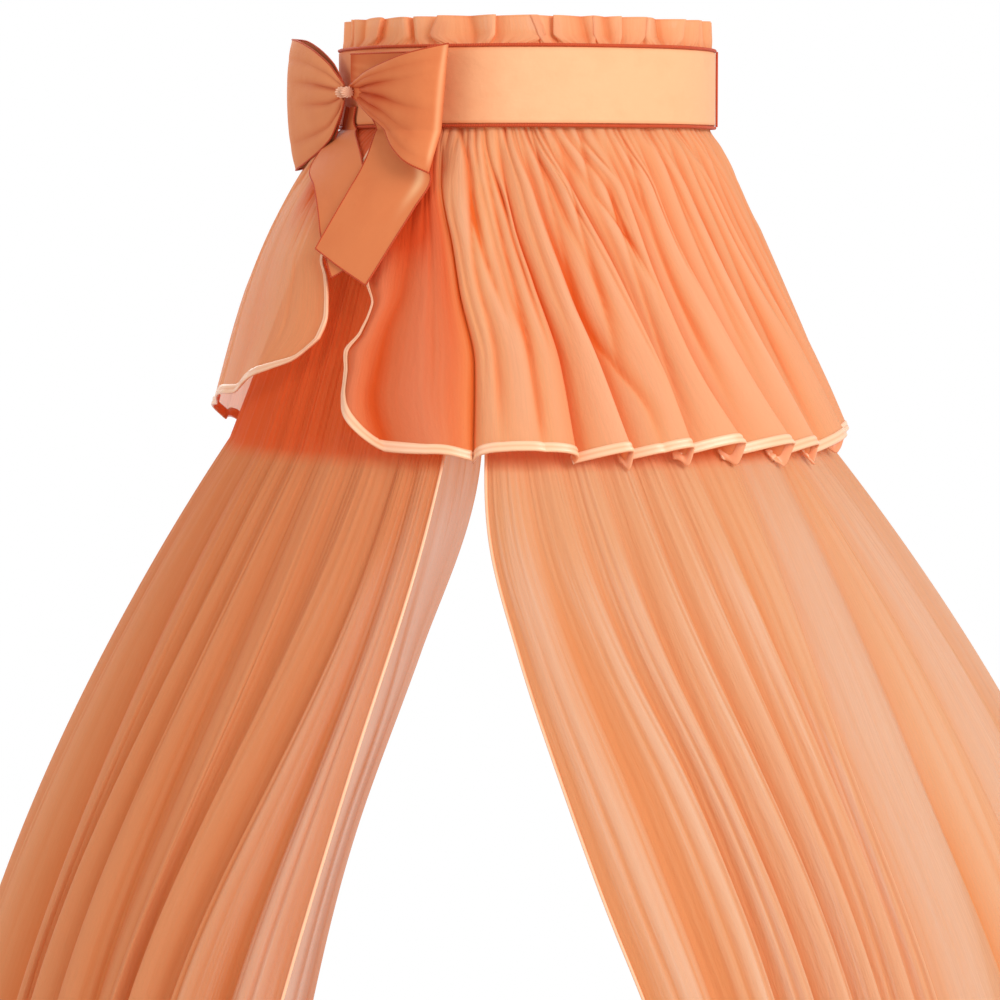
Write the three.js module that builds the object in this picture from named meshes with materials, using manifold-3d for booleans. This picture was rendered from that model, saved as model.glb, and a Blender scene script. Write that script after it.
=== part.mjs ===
import * as THREE from "three";
import Module from "manifold-3d";
import { RoundedBoxGeometry } from "three/addons/geometries/RoundedBoxGeometry.js";
import { mergeVertices } from "three/addons/utils/BufferGeometryUtils.js";

// Bed crown canopy: a steel hoop on a moulded mast head carries two gathered curtains in rod pockets,
// and a stiffened satin belt with a frill above it, a slit valance below it and a bow on its front left.
// Millimetres, +Z up. The origin is the seat inside the socket that the mast's top end bears on.
// Angles run round the hoop's axis from the doorway, which faces -Y, towards +X.

const degree = Math.PI / 180;
const turn = 2 * Math.PI;

// Running and seating clearances
const fitGap = 0.3;
const slideGap = 1.2;
const cutOverrun = 1;
const weldDistance = 1e-4;

// Hoop
const hoopRadius = 160;
const wireRadius = 3;
const hoopSides = 6;
const ringSteps = 48;

// Mast head
const mastInset = 10;
const seatToHoop = 12;
const socketBoreRadius = 10.2;
const socketWall = 4;
const socketDepth = 55;
const collarHeight = 9;
const collarLip = 2.2;
const barrelRadius = 7.5;
const barrelLength = 44;
const hoopEndDepth = 15;
const wireBoreGap = 0.5;
const capBevel = 3;
const ribThickness = 4;
const ribDrop = 26;
const bossRadius = 7.5;
const bossReach = 5;
const roundSides = 24;

// Screws
const setScrewRadius = 2;
const setScrewInset = 9;
const clampShankRadius = 3;
const clampHeight = 24;
const clampKnobRadius = 13;
const clampKnobLobe = 1.8;
const clampKnobThickness = 9;
const clampKnobBevel = 1.5;
const clampStandOff = 3;
const clampLobes = 7;
const clampLobeSteps = 6;
const screwSides = 12;

// Belt
const beltHeight = 67;
const beltAboveHoop = 20.5;
const hoopToStiffener = 10.4;
const stiffenerThickness = 2;
const beltThickness = 1.6;
const pipingRadius = 1.5;
const pipingSides = 5;
const tuckDepth = 8;

// Hanging tabs
const tabWidth = 12;
const tabThickness = 1.6;
const tabLeafDrop = 18;
const tabClearance = 0.5;
const tabToHead = 1.7;
const tabArcSteps = 8;

// Rod pockets
const pocketThickness = 1.5;
const pocketSides = 6;
const pocketSteps = 24;
const pocketFrontAngle = 3 * degree;
const pocketBackAngle = 153 * degree;

// Cloth
const clothThickness = 2;
const headingWave = 0.3;
const foldColumns = 4;

// Frill
const frillRise = 27.5;
const frillThickness = 1.6;
const frillLean = 5;
const frillWave = 3.6;
const frillFolds = 30;
const frillRows = 2;
const frillSwellShare = 0.25;
const frillSwayAngle = 0.7 * degree;

// Valance
const valanceDrop = 287.5;
const valanceHemRadius = 290;
const valanceWave = 8;
const valanceLeanShare = 0.24;
const valanceRowShares = [0, 0.3, 0.65, 1];
const valanceBulge = 62;
const valanceBulgeFade = 1.8;
const valanceBulgeAngle = -80 * degree;
const ribbonWidth = 9;
const ribbonThickness = 2.4;

// Valance grooves in order from the slit's right edge round to its left edge: degrees from the doorway
// towards the right, at equal steps from the belt to the hem
const valanceGrooveDegrees = [
  [-28.8, -27.8, -25.3, -26.8, -26], [-20.5, -18.6, -17.5, -20, -14], [-13.3, -9.8, -3.4, 0.5, 1.7],
  [4, 5.8, 13, 17.6, 19.2], [14.1, 15.9, 20.1, 25.9, 27.6], [27.3, 29.1, 35.4, 37.3, 38.2],
  [37.4, 40.7, 42.4, 44.6, 48.5], [50.8, 54.2, 54.4, 56.2, 57], [63.8, 62.3, 61.5, 61.2, 63.8],
  [76, 76.9, 78, 80.6, 84], [90, 97], [106, 109], [118, 121], [135, 134], [147, 148], [163, 161],
  [176, 175], [192, 193], [203, 205], [219, 218], [231, 232], [246, 244], [258, 257], [272, 270],
  [287, 284], [303, 300.7, 300.3, 300.8, 297], [324.8, 320.8, 324.4, 319.9, 316],
];

// Height of the fold after each groove, as a share of the tallest
const valanceFoldShares = [
  0.3, 0.4, 0.95, 1, 0.95, 1, 0.65, 1, 1, 0.85, 1, 0.8, 1, 0.85, 1, 0.9, 1, 0.8, 1, 0.9, 1, 0.8, 0.75,
  0.5, 0.35, 0.35,
];

// Cut of the valance: share of the way round from the slit's right edge, share of the drop
const valanceCutShares = [
  [0, 0.69], [0.0051, 0.85], [0.0127, 0.92], [0.0232, 0.975], [0.0455, 1], [0.834, 1], [0.856, 0.96],
  [0.882, 0.9], [0.907, 0.865], [0.938, 0.835], [0.964, 0.79], [0.984, 0.755], [0.996, 0.715], [1, 0.655],
];

// Curtains
const curtainDrop = 1546;
const curtainGap = 2;
const curtainTopWave = 2.2;
const curtainHemWave = 14;
const curtainUnderWave = 4.5;
const spreadPower = 2.45;
const leftRimRadius = 603;
const rightRimRadius = 666;
const curtainRowShares = [0, 0.08, 0.2, 0.35, 0.55, 0.76, 1];
const curtainLeanShare = 0.12;
const bindingWidth = 3.5;

// Curtain grooves in order from the doorway edge to the back edge: degrees from the doorway's middle, at
// equal steps from top to rim
const backEdgeDegrees = [153, 157, 160, 153.5, 147.5, 144, 142, 141, 140];
const rightGrooveDegrees = [
  [3, 3, 4.3, 14.6, 23, 26.8, 28.8, 29.6, 30], [8.5, 9.7, 29, 32.8, 33.5], [14, 17.1, 33.2, 36, 37],
  [20, 24.9, 37.2, 39.2, 40.5], [26, 31.5, 40.4, 42.3, 44], [32, 37.2, 43.6, 45.4, 47.2],
  [38, 44.6, 46.8, 48.4, 50.3], [45, 55.5, 51.8, 48.8, 50.2, 50.8, 51.5, 52.4, 53.3],
  [56, 69, 62.8, 60.3, 61.4, 61.8, 62.2, 62.6, 63], [61, 69.7, 68.9, 73.4, 78],
  [82, 85.2, 87.7, 89.9, 92], [102, 105.4, 106.7, 107.4, 108], [131, 134, 135, 133, 132], backEdgeDegrees,
];
const leftGrooveDegrees = [
  [3, 3.2, 5.2, 9.9, 13.8, 17, 19.5, 20.9, 22], [9, 9.5, 19.5, 23, 25.5], [15, 13.5, 26, 28.5, 30],
  [24, 22.5, 31.5, 33, 34.5], [34, 31.2, 37, 38, 39.5], [40, 37.5, 42, 43, 44.5],
  [47, 43, 47.3, 48.3, 49.8], [56, 51.8, 52.8, 53.8, 55.3], [68, 67.5, 67.5, 68.5, 69.5],
  [80, 81, 82, 83, 84], [92, 94, 95, 95.5, 96], [103, 106, 110, 106.3, 106],
  [133, 136, 135, 131.3, 130.5], backEdgeDegrees,
];

// Height of the fold after each groove, as a share of the tallest
const rightFoldShares = [0.71, 0.79, 0.86, 1, 0.82, 0.89, 0.79, 0.75, 0.79, 0.5, 0.71, 0.8, 0.6];
const leftFoldShares = [0.5, 0.6, 0.6, 0.62, 0.55, 0.6, 0.6, 1, 0.64, 0.6, 0.6, 1, 0.5];

// Bow
const knotAngle = -49 * degree;
const knotHeight = -15;
const knotWidth = 13;
const knotTall = 22;
const knotProud = 4;
const knotRounding = 4;
const loopThickness = 1.5;
const loopPinchHeight = 24;
const loopCrease = 2.5;
const loopFlareShare = 0.8;
const loopCreaseFade = 0.6;
const loopColumns = 18;
const loopRows = 4;
const leftLoopLength = 122;
const leftLoopHeight = 116;
const leftLoopDepth = 16;
const leftLoopLean = 2;
const leftLoopDroop = 11;
const leftLoopBend = 600;
const rightLoopLength = 119;
const rightLoopHeight = 108;
const rightLoopDepth = 14;
const rightLoopLean = 3;
const rightLoopDroop = 21;
const loopPathShares = [[0, 0.42], [0.3, 0.8], [0.8, 1], [1, 0.5], [0.8, 0.05], [0.3, 0], [0, 0.2]];
const tailWidth = 67;
const tailPinch = 30;
const tailThickness = 1.5;
const tailLayerGap = 1.4;
const tailSeatGap = 0.4;
const tailBelowKnot = 14.6;
const tailColumns = 12;
const tailRows = 3;
const tailFlareShare = 0.4;

// Tail centre lines from the knot down: degrees from the knot, share of the tail's drop
const tailDrop = 144;
const leftTailShares = [[-3, 0], [0, 0.25], [7.5, 0.5], [16.5, 0.8], [22.5, 1]];
const rightTailShares = [[6, 0], [14, 0.15], [23.3, 0.38], [23.3, 0.6], [18.4, 1]];

// Places that follow from the sizes above
const mastRadius = hoopRadius - mastInset;
const backTabAngle = Math.PI - Math.asin((barrelLength / 2 + tabToHead + tabWidth / 2) / hoopRadius);
const beltTop = beltAboveHoop;
const beltBottom = beltTop - beltHeight;
const stiffenerInner = hoopRadius + hoopToStiffener;
const stiffenerOuter = stiffenerInner + stiffenerThickness;
const beltInner = stiffenerOuter + fitGap;
const beltOuter = beltInner + beltThickness;
const pipingCentre = (beltInner + beltOuter) / 2;
const headingRadius = pipingCentre - pipingRadius - fitGap - headingWave - clothThickness / 2;
const stiffenerTop = beltTop - tuckDepth;
const stiffenerBottom = beltBottom + tuckDepth;
const pipingDrop = fitGap + 2 * pipingRadius;
const pocketInner = wireRadius + slideGap;
const pocketOuter = pocketInner + pocketThickness;
const flareTop = beltBottom - pipingDrop - fitGap;
const valanceTop = stiffenerBottom - fitGap;
const valanceHem = beltBottom - valanceDrop;
const valanceEdge = valanceHem + ribbonWidth + fitGap;
const curtainTop = -pocketOuter - fitGap;
const curtainRim = curtainTop - curtainDrop;

const wasm = await Module();
wasm.setup();

function around(radius, angle, height) {
  return new THREE.Vector3(radius * Math.sin(angle), -radius * Math.cos(angle), height);
}

// A smooth value read off a list of values at equal steps, place running from 0 to 1
function alongList(values, place) {
  const curve = new THREE.SplineCurve(values.map((value, index) => new THREE.Vector2(index, value)));
  return curve.getPoint(place).y;
}

// A value read off pairs of place and value by straight lines between them
function alongPairs(pairs, place) {
  const next = Math.max(1, pairs.findIndex(([at]) => at >= place));
  const [before, after] = [pairs[next - 1], pairs[next]];
  return THREE.MathUtils.mapLinear(place, before[0], after[0], before[1], after[1]);
}

// Folded cloth between its grooves: the angle of a place given by its angle at the top, how far up its
// fold's crest it is, and that fold's number
function onFolds(grooves, top, drop, lean) {
  const last = grooves.length - 2;
  let fold = 0;
  while (fold < last && top >= grooves[fold + 1][0]) {
    fold++;
  }
  const across = (top - grooves[fold][0]) / (grooves[fold + 1][0] - grooves[fold][0]);
  const crest = (1 - Math.cos(turn * across)) / 2;
  const start = alongList(grooves[fold], drop);
  const end = alongList(grooves[fold + 1], drop);
  return { angle: (start + (end - start) * (across + lean * crest)) * degree, crest, fold };
}

// Angle at the top of a numbered column, with foldColumns of them to a fold
function columnTop(grooves, column) {
  const fold = Math.min(grooves.length - 2, Math.floor(column / foldColumns));
  return THREE.MathUtils.lerp(grooves[fold][0], grooves[fold + 1][0], column / foldColumns - fold);
}

// Corners and triangles joined into one closed body whose faces point out
function closedBody(corners, triangles) {
  let volume = 0;
  for (const [a, b, c] of triangles) {
    volume += corners[a].dot(corners[b].clone().cross(corners[c]));
  }
  const facing = triangles.flatMap(([a, b, c]) => (volume < 0 ? [a, c, b] : [a, b, c]));
  const geometry = new THREE.BufferGeometry();
  const places = corners.flatMap((corner) => corner.toArray());
  geometry.setAttribute("position", new THREE.Float32BufferAttribute(places, 3));
  geometry.setIndex(facing);
  geometry.computeVertexNormals();
  return geometry;
}

// Two faces, side 1 and side -1, stitched along their edges; a ring closes on its first column
function stitchedFaces(pointAt, columns, rows, ring = false) {
  const lines = ring ? columns : columns + 1;
  const corners = [];
  for (const side of [1, -1]) {
    for (let line = 0; line < lines; line++) {
      for (let row = 0; row <= rows; row++) {
        corners.push(pointAt(side, line, row));
      }
    }
  }
  const at = (side, line, row) => (side < 0 ? lines * (rows + 1) : 0) + (line % lines) * (rows + 1) + row;
  const triangles = [];
  const quad = (a, b, c, d) => triangles.push([a, b, c], [a, c, d]);
  for (let line = 0; line < columns; line++) {
    const next = line + 1;
    for (let row = 0; row < rows; row++) {
      quad(at(1, line, row), at(1, next, row), at(1, next, row + 1), at(1, line, row + 1));
      quad(at(-1, line, row), at(-1, line, row + 1), at(-1, next, row + 1), at(-1, next, row));
    }
    quad(at(1, line, 0), at(-1, line, 0), at(-1, next, 0), at(1, next, 0));
    quad(at(1, line, rows), at(1, next, rows), at(-1, next, rows), at(-1, line, rows));
  }
  for (let row = 0; row < rows && !ring; row++) {
    quad(at(1, 0, row), at(1, 0, row + 1), at(-1, 0, row + 1), at(-1, 0, row));
    quad(at(1, columns, row), at(-1, columns, row), at(-1, columns, row + 1), at(1, columns, row + 1));
  }
  return closedBody(corners, triangles);
}

// A closed profile of [radius, height] points taken all round the hoop's axis
function fullRing(profile) {
  const points = [...profile, profile[0]].map(([radius, height]) => new THREE.Vector2(radius, height));
  return new THREE.LatheGeometry(points, ringSteps).rotateX(Math.PI / 2);
}

function bandRing(inner, outer, bottom, top) {
  return fullRing([[inner, bottom], [outer, bottom], [outer, top], [inner, top]]);
}

class HoopArc extends THREE.Curve {
  constructor(start, end) {
    super();
    this.start = start;
    this.end = end;
  }
  getPoint(share, target = new THREE.Vector3()) {
    return target.copy(around(hoopRadius, this.start + (this.end - this.start) * share, 0));
  }
}

function roundSection(radius, sides) {
  const points = Array.from({ length: sides }, (_, side) => {
    const angle = (turn * (side + 1 / 2)) / sides;
    return new THREE.Vector2(radius * Math.cos(angle), radius * Math.sin(angle));
  });
  return new THREE.Shape(points);
}

function toSolid(geometry) {
  const bare = geometry.clone();
  bare.deleteAttribute("normal");
  bare.deleteAttribute("uv");
  const welded = mergeVertices(bare, weldDistance);
  const vertProperties = new Float32Array(welded.attributes.position.array);
  const triVerts = new Uint32Array(welded.index.array);
  return new wasm.Manifold(new wasm.Mesh({ numProp: 3, vertProperties, triVerts }));
}

function toGeometry(solid) {
  const { vertProperties, triVerts } = solid.getMesh();
  const geometry = new THREE.BufferGeometry();
  geometry.setAttribute("position", new THREE.BufferAttribute(vertProperties, 3));
  geometry.setIndex(new THREE.BufferAttribute(triVerts, 1));
  geometry.computeVertexNormals();
  return geometry;
}

// A turned piece standing on Z, from [radius, height] points that start and end on the axis
function turned(profile, sides) {
  const points = profile.map(([radius, height]) => new THREE.Vector2(radius, height));
  return new THREE.LatheGeometry(points, sides).rotateX(Math.PI / 2);
}

function rod(radius, length, sides) {
  return new THREE.CylinderGeometry(radius, radius, length, sides);
}

// The wire ends lie this far round from the mast's axis, inside the head
const hoopEndAngle = Math.PI - Math.asin((barrelLength / 2 - hoopEndDepth) / hoopRadius);
const hoopPath = new HoopArc(-hoopEndAngle, hoopEndAngle);

function hoopGeometry() {
  const section = roundSection(wireRadius, hoopSides);
  return new THREE.ExtrudeGeometry(section, { steps: ringSteps, extrudePath: hoopPath });
}

// Moulded head, in its own frame: the seat is at zero and the socket opens downwards
function headGeometry() {
  const socketOuter = socketBoreRadius + socketWall;
  const top = seatToHoop + barrelRadius;
  const body = toSolid(turned([
    [0, -socketDepth],
    [socketOuter + collarLip, -socketDepth],
    [socketOuter + collarLip, collarHeight - socketDepth],
    [socketOuter, collarHeight + collarLip - socketDepth],
    [socketOuter, top - capBevel],
    [socketOuter - capBevel, top],
    [0, top],
  ], roundSides));
  const barrel = toSolid(rod(barrelRadius, barrelLength, roundSides).rotateZ(Math.PI / 2)
    .translate(0, mastInset, seatToHoop));
  const ribShape = new THREE.Shape([
    new THREE.Vector2(-barrelLength / 2, seatToHoop),
    new THREE.Vector2(-barrelLength / 2, seatToHoop - barrelRadius / 2),
    new THREE.Vector2(-socketBoreRadius - socketWall / 2, seatToHoop - ribDrop),
    new THREE.Vector2(socketBoreRadius + socketWall / 2, seatToHoop - ribDrop),
    new THREE.Vector2(barrelLength / 2, seatToHoop - barrelRadius / 2),
    new THREE.Vector2(barrelLength / 2, seatToHoop),
  ]);
  const rib = toSolid(new THREE.ExtrudeGeometry(ribShape, { depth: ribThickness, bevelEnabled: false })
    .rotateX(Math.PI / 2).translate(0, mastInset / 2 + ribThickness / 2, 0));
  const bossLength = socketOuter + bossReach;
  const boss = toSolid(rod(bossRadius, bossLength, roundSides)
    .translate(0, -bossLength / 2, -clampHeight));
  const bore = toSolid(rod(socketBoreRadius, socketDepth + cutOverrun, roundSides).rotateX(Math.PI / 2)
    .translate(0, 0, -(socketDepth + cutOverrun) / 2));
  const hoopSection = roundSection(wireRadius + wireBoreGap, hoopSides);
  const outside = Math.PI - Math.asin((barrelLength / 2 + cutOverrun) / hoopRadius);
  const wireBores = [-1, 1].map((side) => {
    const path = new HoopArc(side * (hoopEndAngle + fitGap / hoopRadius), side * outside);
    const cut = new THREE.ExtrudeGeometry(hoopSection, { steps: 2, extrudePath: path });
    return toSolid(cut.translate(0, -mastRadius, seatToHoop));
  });
  const screwCut = barrelRadius + cutOverrun;
  const setScrewHoles = [-1, 1].map((side) => {
    return toSolid(rod(setScrewRadius + fitGap, screwCut, screwSides)
      .rotateX(Math.PI / 2)
      .translate(side * (barrelLength / 2 - setScrewInset), mastInset, seatToHoop + screwCut / 2));
  });
  const clampHole = toSolid(rod(clampShankRadius + fitGap, bossLength + cutOverrun, screwSides)
    .translate(0, -(bossLength + cutOverrun) / 2, -clampHeight));
  const cuts = [bore, ...wireBores, ...setScrewHoles, clampHole];
  const whole = [barrel, rib, boss].reduce((sum, piece) => sum.add(piece), body);
  return toGeometry(cuts.reduce((rest, cut) => rest.subtract(cut), whole));
}

// Grub screw that bears on the wire's top
function setScrewGeometry() {
  const length = barrelRadius - wireRadius - 2 * fitGap;
  const socketRadius = setScrewRadius / 2;
  return turned([
    [0, 0],
    [setScrewRadius, 0],
    [setScrewRadius, length],
    [socketRadius, length],
    [socketRadius, length / 2],
    [0, length / 2],
  ], screwSides);
}

// Lobed knob with its threaded shank, lying along Y, the shank's tip at the socket's bore
function clampScrewGeometry() {
  const outline = Array.from({ length: clampLobes * clampLobeSteps }, (_, index) => {
    const angle = (turn * index) / (clampLobes * clampLobeSteps);
    const radius = clampKnobRadius + clampKnobLobe * Math.cos(clampLobes * angle);
    return new THREE.Vector2(radius * Math.cos(angle), radius * Math.sin(angle));
  });
  const shankLength = socketWall + bossReach + clampStandOff;
  const knob = toSolid(new THREE.ExtrudeGeometry(new THREE.Shape(outline), {
    depth: clampKnobThickness - 2 * clampKnobBevel,
    bevelThickness: clampKnobBevel,
    bevelSize: clampKnobBevel,
    bevelOffset: -clampKnobBevel,
    bevelSegments: 1,
  }).translate(0, 0, shankLength + clampKnobBevel));
  const shank = toSolid(rod(clampShankRadius, shankLength + cutOverrun, screwSides).rotateX(Math.PI / 2)
    .translate(0, 0, (shankLength + cutOverrun) / 2));
  return toGeometry(knob.add(shank)).rotateX(Math.PI / 2);
}

// Hook-and-loop tab: a ring round the wire and a leaf sewn down the stiffener's inner face
function tabGeometry() {
  const inner = wireRadius + tabClearance;
  const outer = inner + tabThickness;
  const leaf = stiffenerInner * Math.cos(turn / ringSteps / 2) - fitGap - hoopRadius;
  const joint = Math.sqrt(outer * outer - inner * inner);
  const outline = new THREE.Shape();
  outline.moveTo(0, outer);
  outline.lineTo(leaf, outer);
  outline.lineTo(leaf, -tabLeafDrop);
  outline.lineTo(leaf - tabThickness, -tabLeafDrop);
  outline.lineTo(leaf - tabThickness, inner);
  outline.lineTo(joint, inner);
  outline.absarc(0, 0, outer, Math.atan2(inner, joint), Math.PI / 2, true);
  const eye = new THREE.Path();
  eye.absarc(0, 0, inner, 0, turn, false);
  outline.holes.push(eye);
  const extrusion = { depth: tabWidth, bevelEnabled: false, curveSegments: tabArcSteps };
  return new THREE.ExtrudeGeometry(outline, extrusion)
    .translate(0, 0, -tabWidth / 2)
    .rotateX(Math.PI / 2)
    .rotateZ(-Math.PI / 2);
}

// Casing of the curtain's own cloth round the wire, from its doorway end to its back end
function pocketGeometry(hand) {
  return stitchedFaces((side, line, row) => {
    const section = (turn * (line + 1 / 2)) / pocketSides;
    const radius = side > 0 ? pocketOuter : pocketInner;
    const angle = pocketFrontAngle + ((pocketBackAngle - pocketFrontAngle) * row) / pocketSteps;
    return around(hoopRadius + radius * Math.cos(section), hand * angle, radius * Math.sin(section));
  }, pocketSides, pocketSteps, true);
}

// Ruffle that stands above the belt, its foot tucked behind the belt's top edge
function frillGeometry() {
  const foot = stiffenerTop + fitGap;
  const rise = beltTop + frillRise - foot;
  return stitchedFaces((side, line, row) => {
    const share = row / frillRows;
    const swell = 1 + frillSwellShare * share * Math.sin(line * 1.3);
    const height = headingWave + (frillWave - headingWave) * share;
    const wave = height * swell * Math.cos((turn * line) / foldColumns);
    const radius = headingRadius - frillLean * share + wave;
    const angle = (turn * line) / (frillFolds * foldColumns) + frillSwayAngle * share * Math.sin(line * 0.9);
    return around(radius + (side * frillThickness) / 2, angle, foot + rise * share);
  }, frillFolds * foldColumns, frillRows, true);
}

// Valance: radius of its middle surface before the folds, and the height of the folds
function valanceShare(height) {
  return THREE.MathUtils.clamp((flareTop - height) / (flareTop - valanceHem), 0, 2);
}

function valanceRadius(angle, height) {
  const share = valanceShare(height);
  const facing = Math.max(0, Math.cos(angle - valanceBulgeAngle)) ** 2;
  const bulge = valanceBulge * facing * Math.sqrt(share) * Math.exp(-valanceBulgeFade * share * share);
  return headingRadius + (valanceHemRadius - headingRadius) * share + bulge;
}

function valanceFold(height) {
  return headingWave + (valanceWave - headingWave) * Math.min(1, valanceShare(height));
}

function valancePoint(top, height, offset) {
  const drop = Math.min(1, valanceShare(height));
  const { angle, crest, fold } = onFolds(valanceGrooveDegrees, top, drop, valanceLeanShare);
  const wave = valanceFold(height) * (2 * valanceFoldShares[fold] * crest - 1);
  return around(valanceRadius(angle, height) + wave + offset, angle, height);
}

// The valance's lower edge from the slit round to the slit, as angles at the top and heights
const valanceStart = valanceGrooveDegrees[0][0];
const valanceEnd = valanceGrooveDegrees[valanceFoldShares.length][0];
const valanceHemLine = Array.from({ length: valanceFoldShares.length * foldColumns + 1 }, (_, column) => {
  const top = columnTop(valanceGrooveDegrees, column);
  const share = alongPairs(valanceCutShares, (top - valanceStart) / (valanceEnd - valanceStart));
  return [top, flareTop + (valanceEdge - flareTop) * share];
});

function valanceGeometry() {
  return stitchedFaces((side, column, row) => {
    const [top, edge] = valanceHemLine[column];
    const height = row > 0 ? flareTop + (edge - flareTop) * valanceRowShares[row - 1] : valanceTop;
    return valancePoint(top, height, (side * clothThickness) / 2);
  }, valanceHemLine.length - 1, valanceRowShares.length);
}

// Satin ribbon bound round the valance's slit and hem, just outside the cloth's edge
function ribbonGeometry() {
  const hem = valanceHemLine;
  const slitRun = (top, low) => valanceRowShares.slice(0, -1).map((share) => {
    return [top, flareTop + (low - flareTop) * share];
  });
  const line = [
    ...slitRun(valanceStart, hem[0][1]),
    ...hem,
    ...slitRun(valanceEnd, hem[hem.length - 1][1]).reverse(),
  ];
  const flat = line.map(([top, height]) => new THREE.Vector2(top * degree * valanceHemRadius, height));
  return stitchedFaces((side, column, row) => {
    const before = flat[Math.max(0, column - 1)];
    const after = flat[Math.min(flat.length - 1, column + 1)];
    const along = after.clone().sub(before).normalize();
    const reach = fitGap + ribbonWidth * row;
    const [top, height] = line[column];
    const scale = valanceRadius(top * degree, height) * degree;
    const offset = (side * ribbonThickness) / 2;
    return valancePoint(top + (along.y * reach) / scale, height - along.x * reach, offset);
  }, line.length - 1, 1);
}

// Curtain: radius of its middle surface before the folds
function curtainRadius(height, rim) {
  const inner = (level) => valanceRadius(valanceBulgeAngle + Math.PI, level) - valanceFold(level)
    - curtainGap - clothThickness - curtainFold(level);
  if (height > valanceHem) {
    const share = Math.min(1, (curtainTop - height) / (curtainTop - flareTop));
    return hoopRadius + (inner(Math.min(height, flareTop)) - hoopRadius) * share;
  }
  const share = (valanceHem - height) / (valanceHem - curtainRim);
  return inner(valanceHem) + (rim - inner(valanceHem)) * (1 - (1 - share) ** spreadPower);
}

function curtainFold(height) {
  if (height > valanceHem) {
    const share = (curtainTop - height) / (curtainTop - valanceHem);
    return curtainTopWave + (curtainUnderWave - curtainTopWave) * share;
  }
  const share = (valanceHem - height) / (valanceHem - curtainRim);
  return curtainUnderWave + (curtainHemWave - curtainUnderWave) * Math.min(1, share * 2);
}

const curtains = {
  left: { hand: -1, rim: leftRimRadius, grooves: leftGrooveDegrees, folds: leftFoldShares },
  right: { hand: 1, rim: rightRimRadius, grooves: rightGrooveDegrees, folds: rightFoldShares },
};

// Heights of the rows of points down a curtain: under the belt and valance, then down to the rim
const curtainHeights = [
  curtainTop,
  flareTop,
  (flareTop + valanceHem) / 2,
  ...curtainRowShares.map((share) => valanceHem + (curtainRim - valanceHem) * share),
];

function curtainPoint({ hand, rim, grooves, folds }, column, height, offset, beyond = 0) {
  const drop = (curtainTop - height) / curtainDrop;
  const { angle, crest, fold } = onFolds(grooves, columnTop(grooves, column), drop, curtainLeanShare);
  const wave = curtainFold(height) * folds[fold] * (2 * crest - 1);
  const radius = curtainRadius(height, rim) + wave;
  return around(radius + offset, hand * (angle - beyond / radius), height);
}

function curtainGeometry(curtain) {
  return stitchedFaces((side, column, row) => {
    return curtainPoint(curtain, column, curtainHeights[row], (side * clothThickness) / 2);
  }, curtain.folds.length * foldColumns, curtainHeights.length - 1);
}

// Narrow satin binding down the doorway edge
function bindingGeometry(curtain) {
  return stitchedFaces((side, across, row) => {
    const beyond = fitGap + bindingWidth * across;
    return curtainPoint(curtain, 0, curtainHeights[row], (side * ribbonThickness) / 2, beyond);
  }, 1, curtainHeights.length - 1);
}

// Bow: the tails lie on the valance, the loops stand over them and the knot over the loops
const firstTailRadius = pipingCentre + pipingRadius + tailSeatGap + tailThickness / 2;
const secondTailLayer = tailThickness + tailLayerGap;
const loopBackRadius = firstTailRadius + secondTailLayer + tailThickness / 2 + tailLayerGap
  + loopThickness / 2 + loopCrease;

// A place on the bow, along from the knot and out from the loops' back: the right loop lies over the
// tails and the valance, the left loop bends away less than the belt
function bowPoint(along, out, height) {
  if (along >= 0) {
    const angle = knotAngle + along / loopBackRadius;
    const under = tailRadius(angle, height, 0) - firstTailRadius;
    return around(loopBackRadius + under + out, angle, height);
  }
  const bendCentre = around(leftLoopBend - loopBackRadius, knotAngle, 0);
  return around(leftLoopBend + out, knotAngle + along / leftLoopBend, height).sub(bendCentre);
}

const loops = {
  left: {
    hand: -1, length: leftLoopLength, end: leftLoopHeight, depth: leftLoopDepth, lean: leftLoopLean,
    droop: leftLoopDroop,
  },
  right: {
    hand: 1, length: rightLoopLength, end: rightLoopHeight, depth: rightLoopDepth, lean: rightLoopLean,
    droop: rightLoopDroop,
  },
};

function loopGeometry({ hand, length, end, depth, lean, droop }) {
  const path = new THREE.SplineCurve(loopPathShares.map(([along, out]) => {
    return new THREE.Vector2(along * length, out * depth + lean * along);
  }));
  const start = knotWidth / 2 + fitGap;
  return stitchedFaces((side, column, row) => {
    const point = path.getPoint(column / loopColumns);
    const normal = path.getTangent(column / loopColumns).rotateAround(new THREE.Vector2(), Math.PI / 2);
    const share = Math.max(0, point.x / length);
    const across = row / loopRows - 1 / 2;
    const tall = loopPinchHeight + (end - loopPinchHeight) * share ** loopFlareShare;
    const front = column <= loopColumns / 2;
    const crease = front ? loopCrease * Math.cos(2 * turn * across) * (1 - loopCreaseFade * share) : 0;
    const shift = normal.multiplyScalar((side * loopThickness) / 2);
    const height = knotHeight - droop * share + tall * across;
    return bowPoint(hand * (start + point.x + shift.x), point.y + shift.y - crease, height);
  }, loopColumns, loopRows);
}

// How far out a tail lies at a place: on the belt's piping above, on the valance's folds below
function tailRadius(angle, height, layer) {
  const onValance = valanceRadius(angle, height) + valanceFold(height) + clothThickness / 2
    + tailLayerGap + tailThickness / 2;
  return Math.max(firstTailRadius, onValance) + layer;
}

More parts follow.
